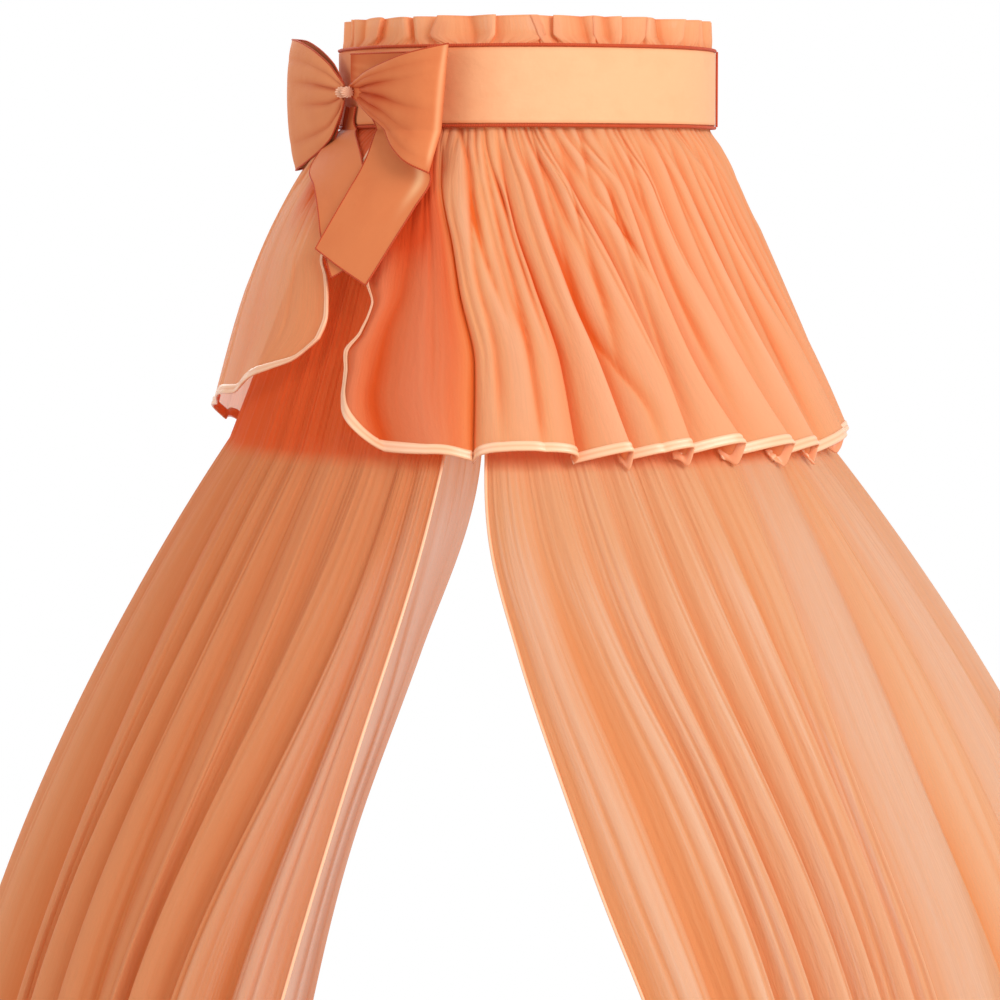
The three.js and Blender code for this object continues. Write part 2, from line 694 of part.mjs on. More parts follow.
function tailGeometry(shares, layer) {
  const path = new THREE.SplineCurve(shares.map(([angle, share]) => {
    return new THREE.Vector2(angle * degree, share);
  }));
  const start = knotHeight - tailBelowKnot;
  return stitchedFaces((side, column, row) => {
    const share = column / tailColumns;
    const point = path.getPoint(share);
    const along = path.getTangent(share);
    const middle = tailRadius(knotAngle + point.x, start - point.y * tailDrop, layer);
    const run = new THREE.Vector2(along.x * middle, -along.y * tailDrop).normalize();
    const width = tailPinch + (tailWidth - tailPinch) * Math.min(1, share / tailFlareShare);
    const across = width * (row / tailRows - 1 / 2);
    const height = start - point.y * tailDrop + run.x * across;
    const angle = knotAngle + point.x - (run.y * across) / middle;
    return around(tailRadius(angle, height, layer) + (side * tailThickness) / 2, angle, height);
  }, tailColumns, tailRows);
}

// Knot: sewn to the belt, with the loops' gathered ends against its sides
function knotGeometry() {
  const back = beltOuter + fitGap;
  const depth = loopBackRadius + leftLoopDepth * loopPathShares[0][1] + knotProud - back;
  return new RoundedBoxGeometry(knotWidth, depth, knotTall, 2, knotRounding)
    .rotateZ(knotAngle)
    .translate(...around(back + depth / 2, knotAngle, knotHeight).toArray());
}

// Materials
const material = (color, roughness, metalness = 0) => {
  return new THREE.MeshStandardMaterial({ color, roughness, metalness, side: THREE.DoubleSide });
};
const voile = material(0xe39a62, 0.9);
const paleSatin = material(0xfdc391, 0.45);
const bowSatin = material(0xe88750, 0.4);
const rustCord = material(0xa84a24, 0.55);
const hemRibbon = material(0xffd7bb, 0.3);
const buckram = material(0xf3ece2, 0.85);
const hookAndLoop = material(0xf6e4d6, 0.9);
const zincWire = material(0xd5d7d9, 0.35, 0.9);
const whitePlastic = material(0xf2f1ee, 0.5);

function piece(name, geometry, surface) {
  const mesh = new THREE.Mesh(geometry, surface);
  mesh.name = name;
  return mesh;
}

// Crown: the hoop's axis is its Z and the hoop's plane its zero
const crown = new THREE.Group();
crown.position.set(0, -mastRadius, seatToHoop);
crown.add(piece("hoop", hoopGeometry(), zincWire));

for (const [name, angle] of [
  ["front_hanging_tab", 0],
  ["back_left_hanging_tab", -backTabAngle],
  ["back_right_hanging_tab", backTabAngle],
]) {
  const tab = piece(name, tabGeometry(), hookAndLoop);
  tab.position.copy(around(hoopRadius, angle, 0));
  tab.rotation.z = angle;
  crown.add(tab);
}

crown.add(
  piece("belt_stiffener", bandRing(stiffenerInner, stiffenerOuter, stiffenerBottom, stiffenerTop), buckram),
  piece("satin_belt", bandRing(beltInner, beltOuter, beltBottom, beltTop), paleSatin),
  piece("header_frill", frillGeometry(), voile),
  piece("valance", valanceGeometry(), voile),
  piece("valance_ribbon", ribbonGeometry(), hemRibbon),
);

for (const [name, height] of [
  ["belt_top_piping", beltTop + fitGap + pipingRadius],
  ["belt_bottom_piping", beltBottom - fitGap - pipingRadius],
]) {
  const section = Array.from({ length: pipingSides }, (_, side) => {
    const angle = (turn * side) / pipingSides;
    return [pipingCentre + pipingRadius * Math.cos(angle), height + pipingRadius * Math.sin(angle)];
  });
  crown.add(piece(name, fullRing(section), rustCord));
}

for (const [side, curtain] of Object.entries(curtains)) {
  crown.add(
    piece(`${side}_rod_pocket`, pocketGeometry(curtain.hand), voile),
    piece(`${side}_curtain`, curtainGeometry(curtain), voile),
    piece(`${side}_curtain_binding`, bindingGeometry(curtain), hemRibbon),
  );
}

crown.add(
  piece("bow_left_loop", loopGeometry(loops.left), bowSatin),
  piece("bow_right_loop", loopGeometry(loops.right), bowSatin),
  piece("bow_left_tail", tailGeometry(leftTailShares, 0), bowSatin),
  piece("bow_right_tail", tailGeometry(rightTailShares, secondTailLayer), bowSatin),
  piece("bow_knot", knotGeometry(), bowSatin),
);

// Mast head and its screws, in the part's own frame
const head = new THREE.Group();
head.add(piece("mast_head", headGeometry(), whitePlastic));

for (const [name, side] of [["left_set_screw", -1], ["right_set_screw", 1]]) {
  const screw = piece(name, setScrewGeometry(), zincWire);
  screw.position.set(side * (barrelLength / 2 - setScrewInset), mastInset, seatToHoop + wireRadius + fitGap);
  head.add(screw);
}

const clampScrew = piece("mast_clamp_screw", clampScrewGeometry(), whitePlastic);
clampScrew.position.set(0, -socketBoreRadius, -clampHeight);
head.add(clampScrew);

const canopy = new THREE.Group();
canopy.name = "bed_crown_canopy";
canopy.add(crown, head);

export default canopy;
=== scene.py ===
import math
import bpy
import numpy as np
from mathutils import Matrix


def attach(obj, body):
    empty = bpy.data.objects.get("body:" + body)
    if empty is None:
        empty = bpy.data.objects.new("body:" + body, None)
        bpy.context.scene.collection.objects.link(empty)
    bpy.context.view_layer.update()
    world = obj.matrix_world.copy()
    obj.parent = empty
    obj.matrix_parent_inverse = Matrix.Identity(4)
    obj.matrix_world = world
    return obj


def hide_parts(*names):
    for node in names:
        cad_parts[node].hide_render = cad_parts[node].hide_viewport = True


# Bed crown canopy: cloth, bow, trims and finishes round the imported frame.
# Lengths in the dictionaries are millimetres in the crown's own frame: the hoop's axis is its Z and the hoop's
# plane its zero. Angles are degrees round that axis from the doorway, which faces -Y, towards +X.

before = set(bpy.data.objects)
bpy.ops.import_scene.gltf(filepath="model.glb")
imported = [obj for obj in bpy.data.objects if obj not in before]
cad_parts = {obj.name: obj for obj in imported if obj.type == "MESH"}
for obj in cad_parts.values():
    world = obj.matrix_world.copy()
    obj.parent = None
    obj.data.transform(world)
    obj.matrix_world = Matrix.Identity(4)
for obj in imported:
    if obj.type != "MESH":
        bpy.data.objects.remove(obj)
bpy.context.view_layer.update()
scene = bpy.context.scene
hoopCentre = np.array([0.0, -0.15, 0.012])
hoopRadius = 160.0


def paint(red, green, blue):  # a colour as it looks on screen, 0 to 255
    linear = [c / 3294.6 if c <= 10 else ((c / 255 + 0.055) / 1.055) ** 2.4 for c in (red, green, blue)]
    return (*linear, 1.0)


def ease(t):
    t = np.clip(t, 0, 1)
    return t * t * (3 - 2 * t)


def dip(x, width):
    return np.exp(-((x / width) ** 2))


def arch(t):  # 0 at both ends, 1 in the middle
    return (1 - np.cos(2 * math.pi * t)) / 2


def nick(away, before, after):  # a sharp crease with its own width on either side
    return np.exp(-np.abs(away) / np.where(away < 0, before, after))


def opening(level, begin, end, fade):  # comes in before begin, goes out round end
    return ease((level - begin) / 0.12 + 1) * (1 - ease((level - end) / fade + 0.5))


def unit(vectors):
    return vectors / np.maximum(np.linalg.norm(vectors, axis=-1, keepdims=True), 1e-9)


def onCloth(along, across):  # where a point lies on its own cloth, in millimetres, for the weave of its finish
    along, across = np.broadcast_arrays(along, across)
    return np.stack([along, across, np.zeros(along.shape)], -1)


def linesBeside(paths, k):  # the groove before fold k and the one after it
    return (np.take_along_axis(paths, k[None] + step, 0)[0] for step in (0, 1))


def smoothLine(places, pairs):  # a smooth line through (place, value) pairs that never overshoots them
    xs, ys = (np.array(column, float) for column in zip(*pairs))
    steps = np.diff(xs)
    slopes = np.diff(ys) / steps
    tangents = np.zeros(len(xs))
    tangents[0], tangents[-1] = slopes[0], slopes[-1]
    before, after = slopes[:-1], slopes[1:]
    same = before * after > 0
    tangents[1:-1][same] = 2 * before[same] * after[same] / (before[same] + after[same])
    k = np.clip(np.searchsorted(xs, places, side="right") - 1, 0, len(steps) - 1)
    t = np.clip((places - xs[k]) / steps[k], 0, 1)
    near, far = (1 + 2 * t) * (1 - t) ** 2, t * t * (3 - 2 * t)
    return near * ys[k] + far * ys[k + 1] + steps[k] * (
        t * (1 - t) ** 2 * tangents[k] - t * t * (1 - t) * tangents[k + 1])


def around(radius, angle, height):
    angle = np.radians(angle)
    return np.stack(np.broadcast_arrays(radius * np.sin(angle), -radius * np.cos(angle), height), -1)


def waves(x, y, seed):  # soft unevenness, about -1 to 1, from nine crossing waves
    dice = np.random.RandomState(seed)
    total = np.zeros(np.broadcast(x, y).shape)
    for _ in range(9):
        turn, pace, shift = dice.uniform(0, 2 * math.pi), dice.uniform(0.5, 1.5), dice.uniform(0, 2 * math.pi)
        total += np.sin(pace * (x * math.cos(turn) + y * math.sin(turn)) + shift)
    return total / 3 / 1.4


def alongList(values, share):  # values at even steps from 0 to 1, joined by one smooth line
    values = np.asarray(values, float)
    place = np.clip(share, 0, 1) * (len(values) - 1)
    k = np.clip(place.astype(int), 0, len(values) - 2)
    w = (place - k)[..., None] if values.ndim > 1 else place - k
    before, near, far, after = (values[np.clip(k + step, 0, len(values) - 1)] for step in (-1, 0, 1, 2))
    leaving, arriving = (far - before) / 2, (after - near) / 2
    return ((2 * near - 2 * far + leaving + arriving) * w + 3 * far - 3 * near - 2 * leaving - arriving) * w * w + (
        leaving * w + near)


def steepness(grid):  # 0 where the cloth faces out, 1 where a fold's side turns away from it
    run, out = unit(np.gradient(grid, axis=0)), unit(grid * [1.0, 1.0, 0.0])
    turn = np.stack([-out[..., 1], out[..., 0], 0 * out[..., 0]], -1)
    slope, onward = np.sum(run * out, -1), np.sum(run * turn, -1)
    side = np.where(slope < 0, -slope, 0.45 * slope)  # a side that rises towards the light is less dark
    return np.where(onward < 0, 1.0, side)


def relief(grid, reach):  # how far the cloth stands out from its own mean over a few columns, in millimetres
    radius = np.linalg.norm(grid[..., :2], axis=-1)
    total = np.cumsum(np.pad(radius, ((reach + 1, reach), (0, 0)), mode="edge"), axis=0)
    mean = (total[2 * reach + 1:] - total[:-2 * reach - 1]) / (2 * reach + 1)
    return radius - mean


def foldShadeAndHighlight(grid, fine, broad, steep):  # painted shade in the cloth's hollows and on the sides of its folds, partly the denser look of sheer cloth seen edge-on, and painted highlights on its crests
    near, far = relief(grid, fine), relief(grid, broad)
    hollow = np.clip(-near * 0.32, 0, 0.55) + np.clip(-far * 0.06, 0, 0.45) + steep * steepness(grid)
    ridge = np.clip(near * 0.3, 0, 0.5) + np.clip(far * 0.055, 0, 0.5)
    return np.clip(hollow, 0, 1.2), np.clip(ridge, 0, 1)


def creases(lines, a, v):  # how deep narrow creases cut in: (place, drift, depth, width, from, to) of each
    cut = np.zeros(a.shape)
    for place, drift, depth, width, begin, end in lines:
        away = a - place - drift * v
        near = np.abs(away) < 6 * width
        shown = opening(v[near], begin, end, max(0.4 * end, 0.08))
        cut[near] += depth * shown * nick(away[near], 0.7 * width, 1.5 * width)
    return cut


def gridMesh(name, grid, finish, body, ringAcross=False, ringDown=False, thickness=0.0, **marks):
    columns, rows = grid.shape[:2]
    index = np.arange(columns * rows).reshape(columns, rows)
    if ringAcross:
        index = np.concatenate([index, index[:1]], 0)
    if ringDown:
        index = np.concatenate([index, index[:, :1]], 1)
    quads = np.stack([index[:-1, :-1], index[1:, :-1], index[1:, 1:], index[:-1, 1:]], -1).reshape(-1, 4)
    mesh = bpy.data.meshes.new(name)
    mesh.vertices.add(columns * rows)
    mesh.vertices.foreach_set("co", (grid * 0.001 + hoopCentre).astype(np.float32).ravel())
    mesh.loops.add(quads.size)
    mesh.loops.foreach_set("vertex_index", quads.astype(np.int32).ravel())
    mesh.polygons.add(len(quads))
    mesh.polygons.foreach_set("loop_start", np.arange(0, quads.size, 4, dtype=np.int32))
    mesh.update(calc_edges=True)
    mesh.polygons.foreach_set("use_smooth", np.ones(len(quads), bool))
    for mark, values in marks.items():
        wide = values.ndim == 3
        layer = mesh.attributes.new(mark, "FLOAT_VECTOR" if wide else "FLOAT", "POINT")
        layer.data.foreach_set("vector" if wide else "value", values.astype(np.float32).ravel())
    mesh.materials.append(finish.material)
    piece = bpy.data.objects.new(name, mesh)
    scene.collection.objects.link(piece)
    if thickness:
        shell = piece.modifiers.new("thickness", "SOLIDIFY")
        shell.thickness, shell.offset = thickness * 0.001, 0
    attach(piece, body)
    return piece


def tubeGrid(path, radius, sides):  # rings of points round a path
    ahead = unit(np.gradient(path, axis=0))
    side = np.cross(ahead, [0.0, 0.0, 1.0])
    if np.linalg.norm(side[0]) < 0.3:  # the path starts upright
        side[0] = np.cross(ahead[0], [0.577, 0.577, 0.577])
    for i in range(1, len(side)):  # carried along the path, so that the rings don't twist
        side[i] = side[i - 1] - ahead[i] * np.dot(side[i - 1], ahead[i])
    side = unit(side)
    up = np.cross(side, ahead)
    turn = np.linspace(0, 2 * math.pi, sides, endpoint=False)[:, None]
    return path[:, None] + radius * (side[:, None] * np.cos(turn) + up[:, None] * np.sin(turn))


def lengthAlong(path):
    return np.concatenate([[0], np.cumsum(np.linalg.norm(np.diff(path, axis=0), axis=1))])


def tube(name, path, radius, finish, body, sides=8, ring=False):
    place = onCloth(lengthAlong(path)[:, None], np.linspace(0, 1, sides, endpoint=False))
    return gridMesh(name, tubeGrid(path, radius, sides), finish, body, ringAcross=ring, ringDown=True, cloth=place)


class Signal:  # one output of a node, used in sums and products
    def __init__(self, shader, socket):
        self.shader, self.socket = shader, socket

    def maths(self, operation, first, second=0.0):
        return self.shader.node("ShaderNodeMath", {"operation": operation}, {0: first, 1: second})

    def __add__(self, other):
        return self.maths("ADD", self, other)

    def __radd__(self, other):
        return self.maths("ADD", other, self)

    def __sub__(self, other):
        return self.maths("SUBTRACT", self, other)

    def __rsub__(self, other):
        return self.maths("SUBTRACT", other, self)

    def __mul__(self, other):
        return self.maths("MULTIPLY", self, other)

    def __rmul__(self, other):
        return self.maths("MULTIPLY", other, self)

    def clamped(self, low=0.0, high=1.0):
        return self.shader.node("ShaderNodeClamp", {}, {"Value": self, "Min": low, "Max": high})


class Shader:  # the node tree of a material, or of the world
    def __init__(self, name, owners=bpy.data.materials):
        self.material = owners.new(name)
        self.material.use_nodes = True
        self.tree = self.material.node_tree
        self.tree.nodes.clear()

    def node(self, kind, settings=None, values=None, output=0):
        made = self.tree.nodes.new(kind)
        for name, value in (settings or {}).items():
            setattr(made, name, value)
        for name, value in (values or {}).items():
            if isinstance(value, Signal):
                self.tree.links.new(value.socket, made.inputs[name])
            else:
                made.inputs[name].default_value = value
        return Signal(self, made.outputs[output])

    def mark(self, name):
        return self.node("ShaderNodeAttribute", {"attribute_name": name}, output="Fac")

    def clothPlace(self, scale=(1.0, 1.0, 1.0)):
        place = self.node("ShaderNodeAttribute", {"attribute_name": "cloth"}, output="Vector")
        return self.node("ShaderNodeVectorMath", {"operation": "MULTIPLY"}, {0: place, 1: scale})

    def objectPlace(self, scale):
        place = self.node("ShaderNodeTexCoord", output="Object")
        return self.node("ShaderNodeVectorMath", {"operation": "MULTIPLY"}, {0: place, 1: scale})

    def noise(self, place, detail, roughness=0.5):
        return self.node("ShaderNodeTexNoise", {"noise_dimensions": "3D"},
                         {"Vector": place, "Scale": 1.0, "Detail": detail, "Roughness": roughness})

    def wave(self, place, scale, direction):
        return self.node("ShaderNodeTexWave", {"wave_type": "BANDS", "bands_direction": direction},
                         {"Vector": place, "Scale": scale})

    def blendColour(self, factor, first, second):
        return self.node("ShaderNodeMix", {"data_type": "RGBA"}, {0: factor, 6: first, 7: second}, output=2)

    def blendShader(self, factor, first, second):
        return self.node("ShaderNodeMixShader", {}, {0: factor, 1: first, 2: second})

    def bump(self, height, strength, distance, under=None):
        values = {"Height": height, "Strength": strength, "Distance": distance}
        if under:
            values["Normal"] = under
        return self.node("ShaderNodeBump", {}, values)

    def surface(self, signal, kind="ShaderNodeOutputMaterial"):
        out = self.tree.nodes.new(kind)
        self.tree.links.new(signal.socket, out.inputs["Surface"])
        return self

    def principled(self, values):
        return self.surface(self.node("ShaderNodeBsdfPrincipled", {}, values))


# Sheer voile. Each finish says only what it has of its own
voileLook = {
    "thread": paint(248, 182, 128),      # lit face of one layer
    # painted highlight on the cloth's crests
    "ridgeThread": paint(255, 208, 168),
    "deepThread": paint(236, 108, 42),   # painted shade on a fold's side and down in a groove, and the deeper colour where the cloth lies in layers
    "underThread": paint(220, 66, 14),   # gathered layers in the shade of the valance
    "through": (1.0, 0.42, 0.14, 1.0),   # light that comes through the threads
    "cover": 0.78,                       # share of the view that threads fill in one flat layer
    "foldCover": 0.16,
    "denseCover": 0.24,
}


def voileFinish(name, **changes):
    look = {**voileLook, **changes}
    s = Shader(name)
    fold, ridge, dense, under = s.mark("fold"), s.mark("ridge"), s.mark("dense"), s.mark("under")
    streaks = s.noise(s.clothPlace((0.55, 0.006, 0.0)), 3.0, 0.6)
    cloud = s.noise(s.clothPlace((0.011, 0.004, 0.0)), 2.0)
    crinkle = s.noise(s.clothPlace((0.16, 0.03, 0.0)), 4.0, 0.6)
    warp, weft = (s.wave(s.clothPlace(), 0.8, direction) for direction in "XY")
    # Painted shade and highlight: the fold mark darkens the cloth in its folds, along with its denser layers and
    # random tone; the highlight mark lightens its crests; the under mark paints the shade under the valance and the
    # bow
    deep = (fold * 0.85 + dense * 0.22 + (cloud - 0.5) * 0.5 + (streaks - 0.5) * 0.5).clamped()
    colour = s.blendColour(deep, look["thread"], look["deepThread"])
    colour = s.blendColour((ridge * 0.8).clamped(), colour, look["ridgeThread"])
    colour = s.blendColour((under * 0.9).clamped(), colour, look["underThread"])
    cover = (look["cover"] + fold * look["foldCover"] + dense * look["denseCover"] + under * 0.2
             + (streaks - 0.5) * 0.22 + (cloud - 0.5) * 0.12).clamped(0.05, 0.99)
    normal = s.bump(crinkle, 0.3, 0.004)
    normal = s.bump(warp * 0.5 + weft * 0.5, 0.2, 0.0003, normal)
    face = s.node("ShaderNodeBsdfPrincipled", {}, {
        "Base Color": colour, "Roughness": 0.72, "Specular IOR Level": 0.12, "Sheen Weight": 0.08,
        "Sheen Roughness": 0.4, "Normal": normal})
    through = s.node("ShaderNodeBsdfTranslucent", {}, {"Color": look["through"], "Normal": normal})
    threads = s.blendShader(0.3, face, through)
    gaps = s.node("ShaderNodeBsdfTransparent")
    return s.surface(s.blendShader(cover, gaps, threads))


def satinFinish(name, light, shade, roughness, sheen=0.05, coat=0.0, gloss=0.28):
    s = Shader(name)
    fold = s.mark("fold")
    cloud = s.noise(s.clothPlace((0.03, 0.03, 0.0)), 3.0)
    slub = s.noise(s.clothPlace((0.05, 2.2, 0.0)), 2.0)
    crumple = s.noise(s.clothPlace((0.07, 0.07, 0.0)), 3.0)
    threads = s.wave(s.clothPlace(), 1.6, "DIAGONAL")
    # painted shade where the fold mark is set, with random tone; a painted highlight where the highlight mark is set
    colour = s.blendColour((fold * 0.85 + (cloud - 0.5) * 0.4).clamped(), light, shade)
    colour = s.blendColour((slub * 0.10).clamped(), colour, shade)
    colour = s.blendColour(s.mark("ridge") * 0.8, colour, paint(250, 196, 146))  # a crease that catches light
    normal = s.bump(crumple, 0.2, 0.004)
    normal = s.bump(threads, 0.12, 0.0002, normal)
    return s.principled({
        "Base Color": colour, "Roughness": (roughness + (slub - 0.5) * 0.12 + fold * 0.1).clamped(0.1, 0.9),
        "Specular IOR Level": gloss, "Sheen Weight": sheen, "Sheen Roughness": 0.35, "Coat Weight": coat,
        "Coat Roughness": 0.3, "Normal": normal})


def cordFinish(name, light, shade, pitch):  # cord with twisted satin round it, pitch turns in a millimetre
    s = Shader(name)
    twist = s.wave(s.clothPlace((pitch, 1.0, 1.0)), math.pi / 10, "DIAGONAL")  # one band for each unit
    wear = s.noise(s.clothPlace((0.05, 0.5, 0.0)), 3.0)
    # painted light and shade along the twisted strands, with random tone
    colour = s.blendColour(twist * 0.5 + wear * 0.4, shade, light)
    return s.principled({"Base Color": colour, "Roughness": 0.5 + wear * 0.15, "Specular IOR Level": 0.2,
                         "Sheen Weight": 0.05, "Normal": s.bump(twist, 0.5, 0.0006)})


def wireFinish():
    s = Shader("zincPlatedWire")
    drawn = s.noise(s.objectPlace((900.0, 900.0, 900.0)), 2.0)
    bloom = s.noise(s.objectPlace((120.0, 120.0, 120.0)), 4.0, 0.7)
    colour = s.blendColour(bloom, paint(196, 199, 203), paint(226, 228, 230))
    return s.principled({"Base Color": colour, "Metallic": 1.0, "Roughness": 0.28 + bloom * 0.2,
                         "Normal": s.bump(drawn, 0.15, 0.0001)})


def plasticFinish():
    s = Shader("mouldedPlastic")
    grain = s.noise(s.objectPlace((2600.0, 2600.0, 2600.0)), 1.0)
    flow = s.noise(s.objectPlace((40.0, 40.0, 90.0)), 3.0)
    colour = s.blendColour(flow, paint(238, 236, 231), paint(247, 245, 241))
    return s.principled({"Base Color": colour, "Roughness": 0.42 + flow * 0.12,
                         "Normal": s.bump(grain, 0.2, 0.00008)})


def tapeFinish(name, light, shade, fuzz):  # woven tape, buckram, hook and loop
    s = Shader(name)
    warp, weft = (s.wave(s.clothPlace(), 0.45, direction) for direction in "XY")
    nap = s.noise(s.clothPlace((2.2, 2.2, 0.0)), 3.0, 0.7)
    colour = s.blendColour((nap * 0.6 + warp * weft * 0.4).clamped(), shade, light)
    return s.principled({"Base Color": colour, "Roughness": 0.85, "Sheen Weight": fuzz * 0.4,
                         "Normal": s.bump(warp * weft * (1 - fuzz) + nap * fuzz, 0.5, 0.0005)})


valanceVoile = voileFinish("valanceVoile", cover=0.9)
frillVoile = voileFinish("frillVoile", cover=0.9, thread=paint(244, 176, 130), deepThread=paint(222, 104, 52))
# The curtains' copies of the voile: the left one is darker, as painted shade on the side away from the key lamp
rightVoile = voileFinish("rightVoile", thread=paint(230, 178, 136), ridgeThread=paint(236, 200, 166),
                         deepThread=paint(222, 144, 92), cover=0.7, foldCover=0.2, denseCover=0.26)
shadedLeftVoile = voileFinish("shadedLeftVoile", thread=paint(212, 142, 98), ridgeThread=paint(228, 174, 134),
                        deepThread=paint(196, 102, 54), cover=0.72, foldCover=0.2, denseCover=0.26)
pocketVoile = voileFinish("pocketVoile", cover=0.9)
beltSatin = satinFinish("beltSatin", paint(248, 188, 142), paint(232, 128, 74), 0.56, gloss=0.12)
knotSatin = satinFinish("knotSatin", paint(252, 200, 168), paint(216, 128, 88), 0.5, gloss=0.12)
bowSatin = satinFinish("bowSatin", paint(226, 132, 82), paint(192, 64, 26), 0.56, sheen=0.0, gloss=0.08)
hemSatin = satinFinish("hemSatin", paint(255, 205, 166), paint(240, 146, 96), 0.26, coat=0.25, gloss=0.4)
rustCord = cordFinish("rustCord", paint(216, 92, 48), paint(180, 58, 26), 0.9)
paleThread = cordFinish("paleThread", paint(255, 214, 186), paint(232, 158, 118), 1.4)
zincWire = wireFinish()
mouldedPlastic = plasticFinish()
buckram = tapeFinish("buckram", paint(250, 245, 236), paint(222, 212, 198), 0.1)
nappedTape = tapeFinish("nappedTape", paint(250, 236, 224), paint(226, 202, 184), 0.6)
print("materials: made")


def foldsAt(lines, a, v):
    # lines are the grooves: cloth place, path as (v, angle) pairs, and how tall, leaning and flat the next fold is
    places = np.array([line["at"] for line in lines], float)
    k = np.clip(np.searchsorted(places, a, side="right") - 1, 0, len(lines) - 2)
    t = np.clip((a - places[k]) / (places[k + 1] - places[k]), 0, 1)
    start, end = linesBeside(np.stack([smoothLine(v, line["path"]) for line in lines]), k)
    values = {name: np.array([line.get(name, 0.0) for line in lines], float)[k]
              for name in ("tall", "lean", "flat", "box")}
    return {"t": t, "start": start, "end": end, "crest": arch(t) ** (1 / np.maximum(values["flat"], 1)), **values}


def groove(at, tall, lean, flat, *path):
    return {"at": at, "tall": tall, "lean": lean, "flat": flat, "path": path}


# The valance: a is a place across its cloth in degrees, h the millimetres down it and v the share of its drop
valance = {
    "top": -50.1, "drop": 283.9, "tuck": 11.0, "topRadius": 170.4, "hemRadius": 290.0,
    "bulge": 55.0, "bulgeAt": -80.0, "bulgeFade": 1.8, "puff": 3.0, "columns": 1500, "rows": 160,
    "valley": 0.52, "ribbon": 8.6, "lift": 0.75, "curl": 12.0,
    "perDegree": 4.3,  # millimetres of cloth in a degree
    "clearance": 4.0,  # between the frame's folds and the curtains
}
valanceLines = [
    groove(-28.8, 6, 0.0, 1, (0, -28.8), (0.3, -27.6), (0.47, -26.4), (0.545, -23.7), (0.63, -25.0), (0.69, -27.7),
           (0.75, -26.8), (0.87, -26.5), (1, -26.0)),
    groove(-20.5, 8, 0.12, 1.6, (0, -20.5), (0.49, -17.5), (0.64, -19.6), (0.79, -20.0), (1, -14.0)),
    {**groove(-12.7, 17, 0.1, 2.6, (0, -14.4), (0.15, -12.6), (0.36, -6.9), (0.5, -4.0), (0.72, 0.6), (1, 1.6)),
     "box": 0.16},
    groove(4.0, 14, 0.62, 1.9, (0, 2.4), (0.29, 7.4), (0.47, 11.9), (0.72, 17.0), (1, 19.0)),
    groove(13.0, 16, 0.68, 2.2, (0, 8.1), (0.24, 14.0), (0.49, 19.6), (0.75, 24.6), (1, 27.4)),
    groove(25.0, 17, 0.72, 2.0, (0, 16.0), (0.2, 23.0), (0.42, 29.9), (0.61, 33.7), (0.8, 36.4), (1, 37.6)),
    groove(38.0, 17, 0.7, 2.0, (0, 33.5), (0.25, 37.4), (0.5, 40.2), (0.75, 43.4), (1, 48.0)),
    groove(50.0, 15, 0.5, 1.9, (0, 45.5), (0.19, 46.6), (0.43, 49.8), (0.58, 52.6), (0.83, 56.4), (1, 60.0)),
    groove(61.0, 17, 0.6, 2.0, (0, 55.9), (0.16, 58.4), (0.33, 61.4), (0.64, 65.4), (1, 71.5)),
    groove(75.0, 16, 0.5, 1.8, (0, 67), (0.19, 71.4), (0.36, 74.0), (0.56, 78.6), (0.77, 82.6), (1, 86)),
    groove(90.0, 17, 0.45, 1.8, (0, 84), (0.5, 91), (1, 98)),
    groove(106.0, 16, 0.45, 1.6, (0, 102), (1, 110)),
    *(groove(at, tall, lean, flat, (0, at), (1, hem)) for at, tall, lean, flat, hem in (  # straight down behind
        (118, 21, 0.34, 1.9, 121), (135, 17, 0.5, 1.5, 134), (147, 20, 0.38, 1.8, 148), (163, 18, -0.42, 1.6, 161),
        (176, 21, 0.34, 1.8, 175), (192, 16, 0.5, 1.5, 193), (203, 20, -0.38, 1.8, 205), (219, 18, 0.42, 1.6, 218),
        (231, 20, 0.34, 1.8, 232), (246, 16, -0.36, 1.6, 244), (258, 10, -0.25, 1.6, 257), (272, 6, 0.0, 1.6, 270),
        (287, 5, 0.0, 1.5, 284))),
    groove(303.0, 5, 0.0, 1.3, (0, 303), (0.4, 300), (0.7, 301), (1, 297)),
    groove(324.8, 5, 0.0, 1, (0, 324.8), (0.2, 321.2), (0.4, 320.2), (0.465, 323.2), (0.54, 325.5), (0.6, 326.5),
           (0.65, 325.9), (0.7, 323.2), (0.76, 319.5), (1, 316)),
]
# Narrow tucks between the big folds: (depth, width, from, to, path of (v, angle))
valanceTucks = [
    (4.5, 0.8, 0.0, 0.55, [(0, -10), (0.12, -4.8), (0.27, -1.9), (0.39, 1.3), (0.6, 7.5)]),
    (4.2, 0.9, 0.08, 0.95, [(0, -3.0), (0.37, 5.8), (0.54, 9.3), (0.71, 11.6), (1, 14)]),
    (3.6, 1.0, 0.3, 0.9, [(0, -6.0), (0.4, -1.0), (0.7, 5.0), (1, 7.0)]),
    (4.0, 0.9, 0.5, 0.95, [(0.4, 19.0), (0.56, 21.6), (0.64, 24.4), (0.71, 27.8), (0.87, 33.6), (1, 35)]),
    (4.4, 0.9, 0.02, 0.46, [(0, 26.6), (0.18, 28.0), (0.27, 32.1), (0.37, 36.6), (0.5, 39.6)]),
    (3.8, 0.8, 0.0, 0.42, [(0, 12.0), (0.19, 16.2), (0.32, 18.6), (0.46, 20.6)]),
    (3.4, 0.9, 0.12, 0.7, [(0, 20.0), (0.3, 24.0), (0.6, 28.0), (1, 31)]),
    (3.6, 0.9, 0.25, 0.85, [(0, 30.0), (0.3, 34.0), (0.6, 37.6), (1, 42)]),
    (3.6, 0.9, 0.1, 0.8, [(0, 40.0), (0.3, 42.5), (0.6, 47.0), (1, 54)]),
    (3.4, 0.9, 0.0, 0.7, [(0, 51.0), (0.3, 54.5), (0.6, 59.0), (1, 65)]),
    (3.8, 1.0, 0.1, 0.9, [(0, 61.0), (0.3, 66.5), (0.6, 71.0), (1, 78)]),
    (3.6, 1.0, 0.0, 0.75, [(0, 75.0), (0.3, 79.0), (0.6, 85.0), (1, 92)]),
]
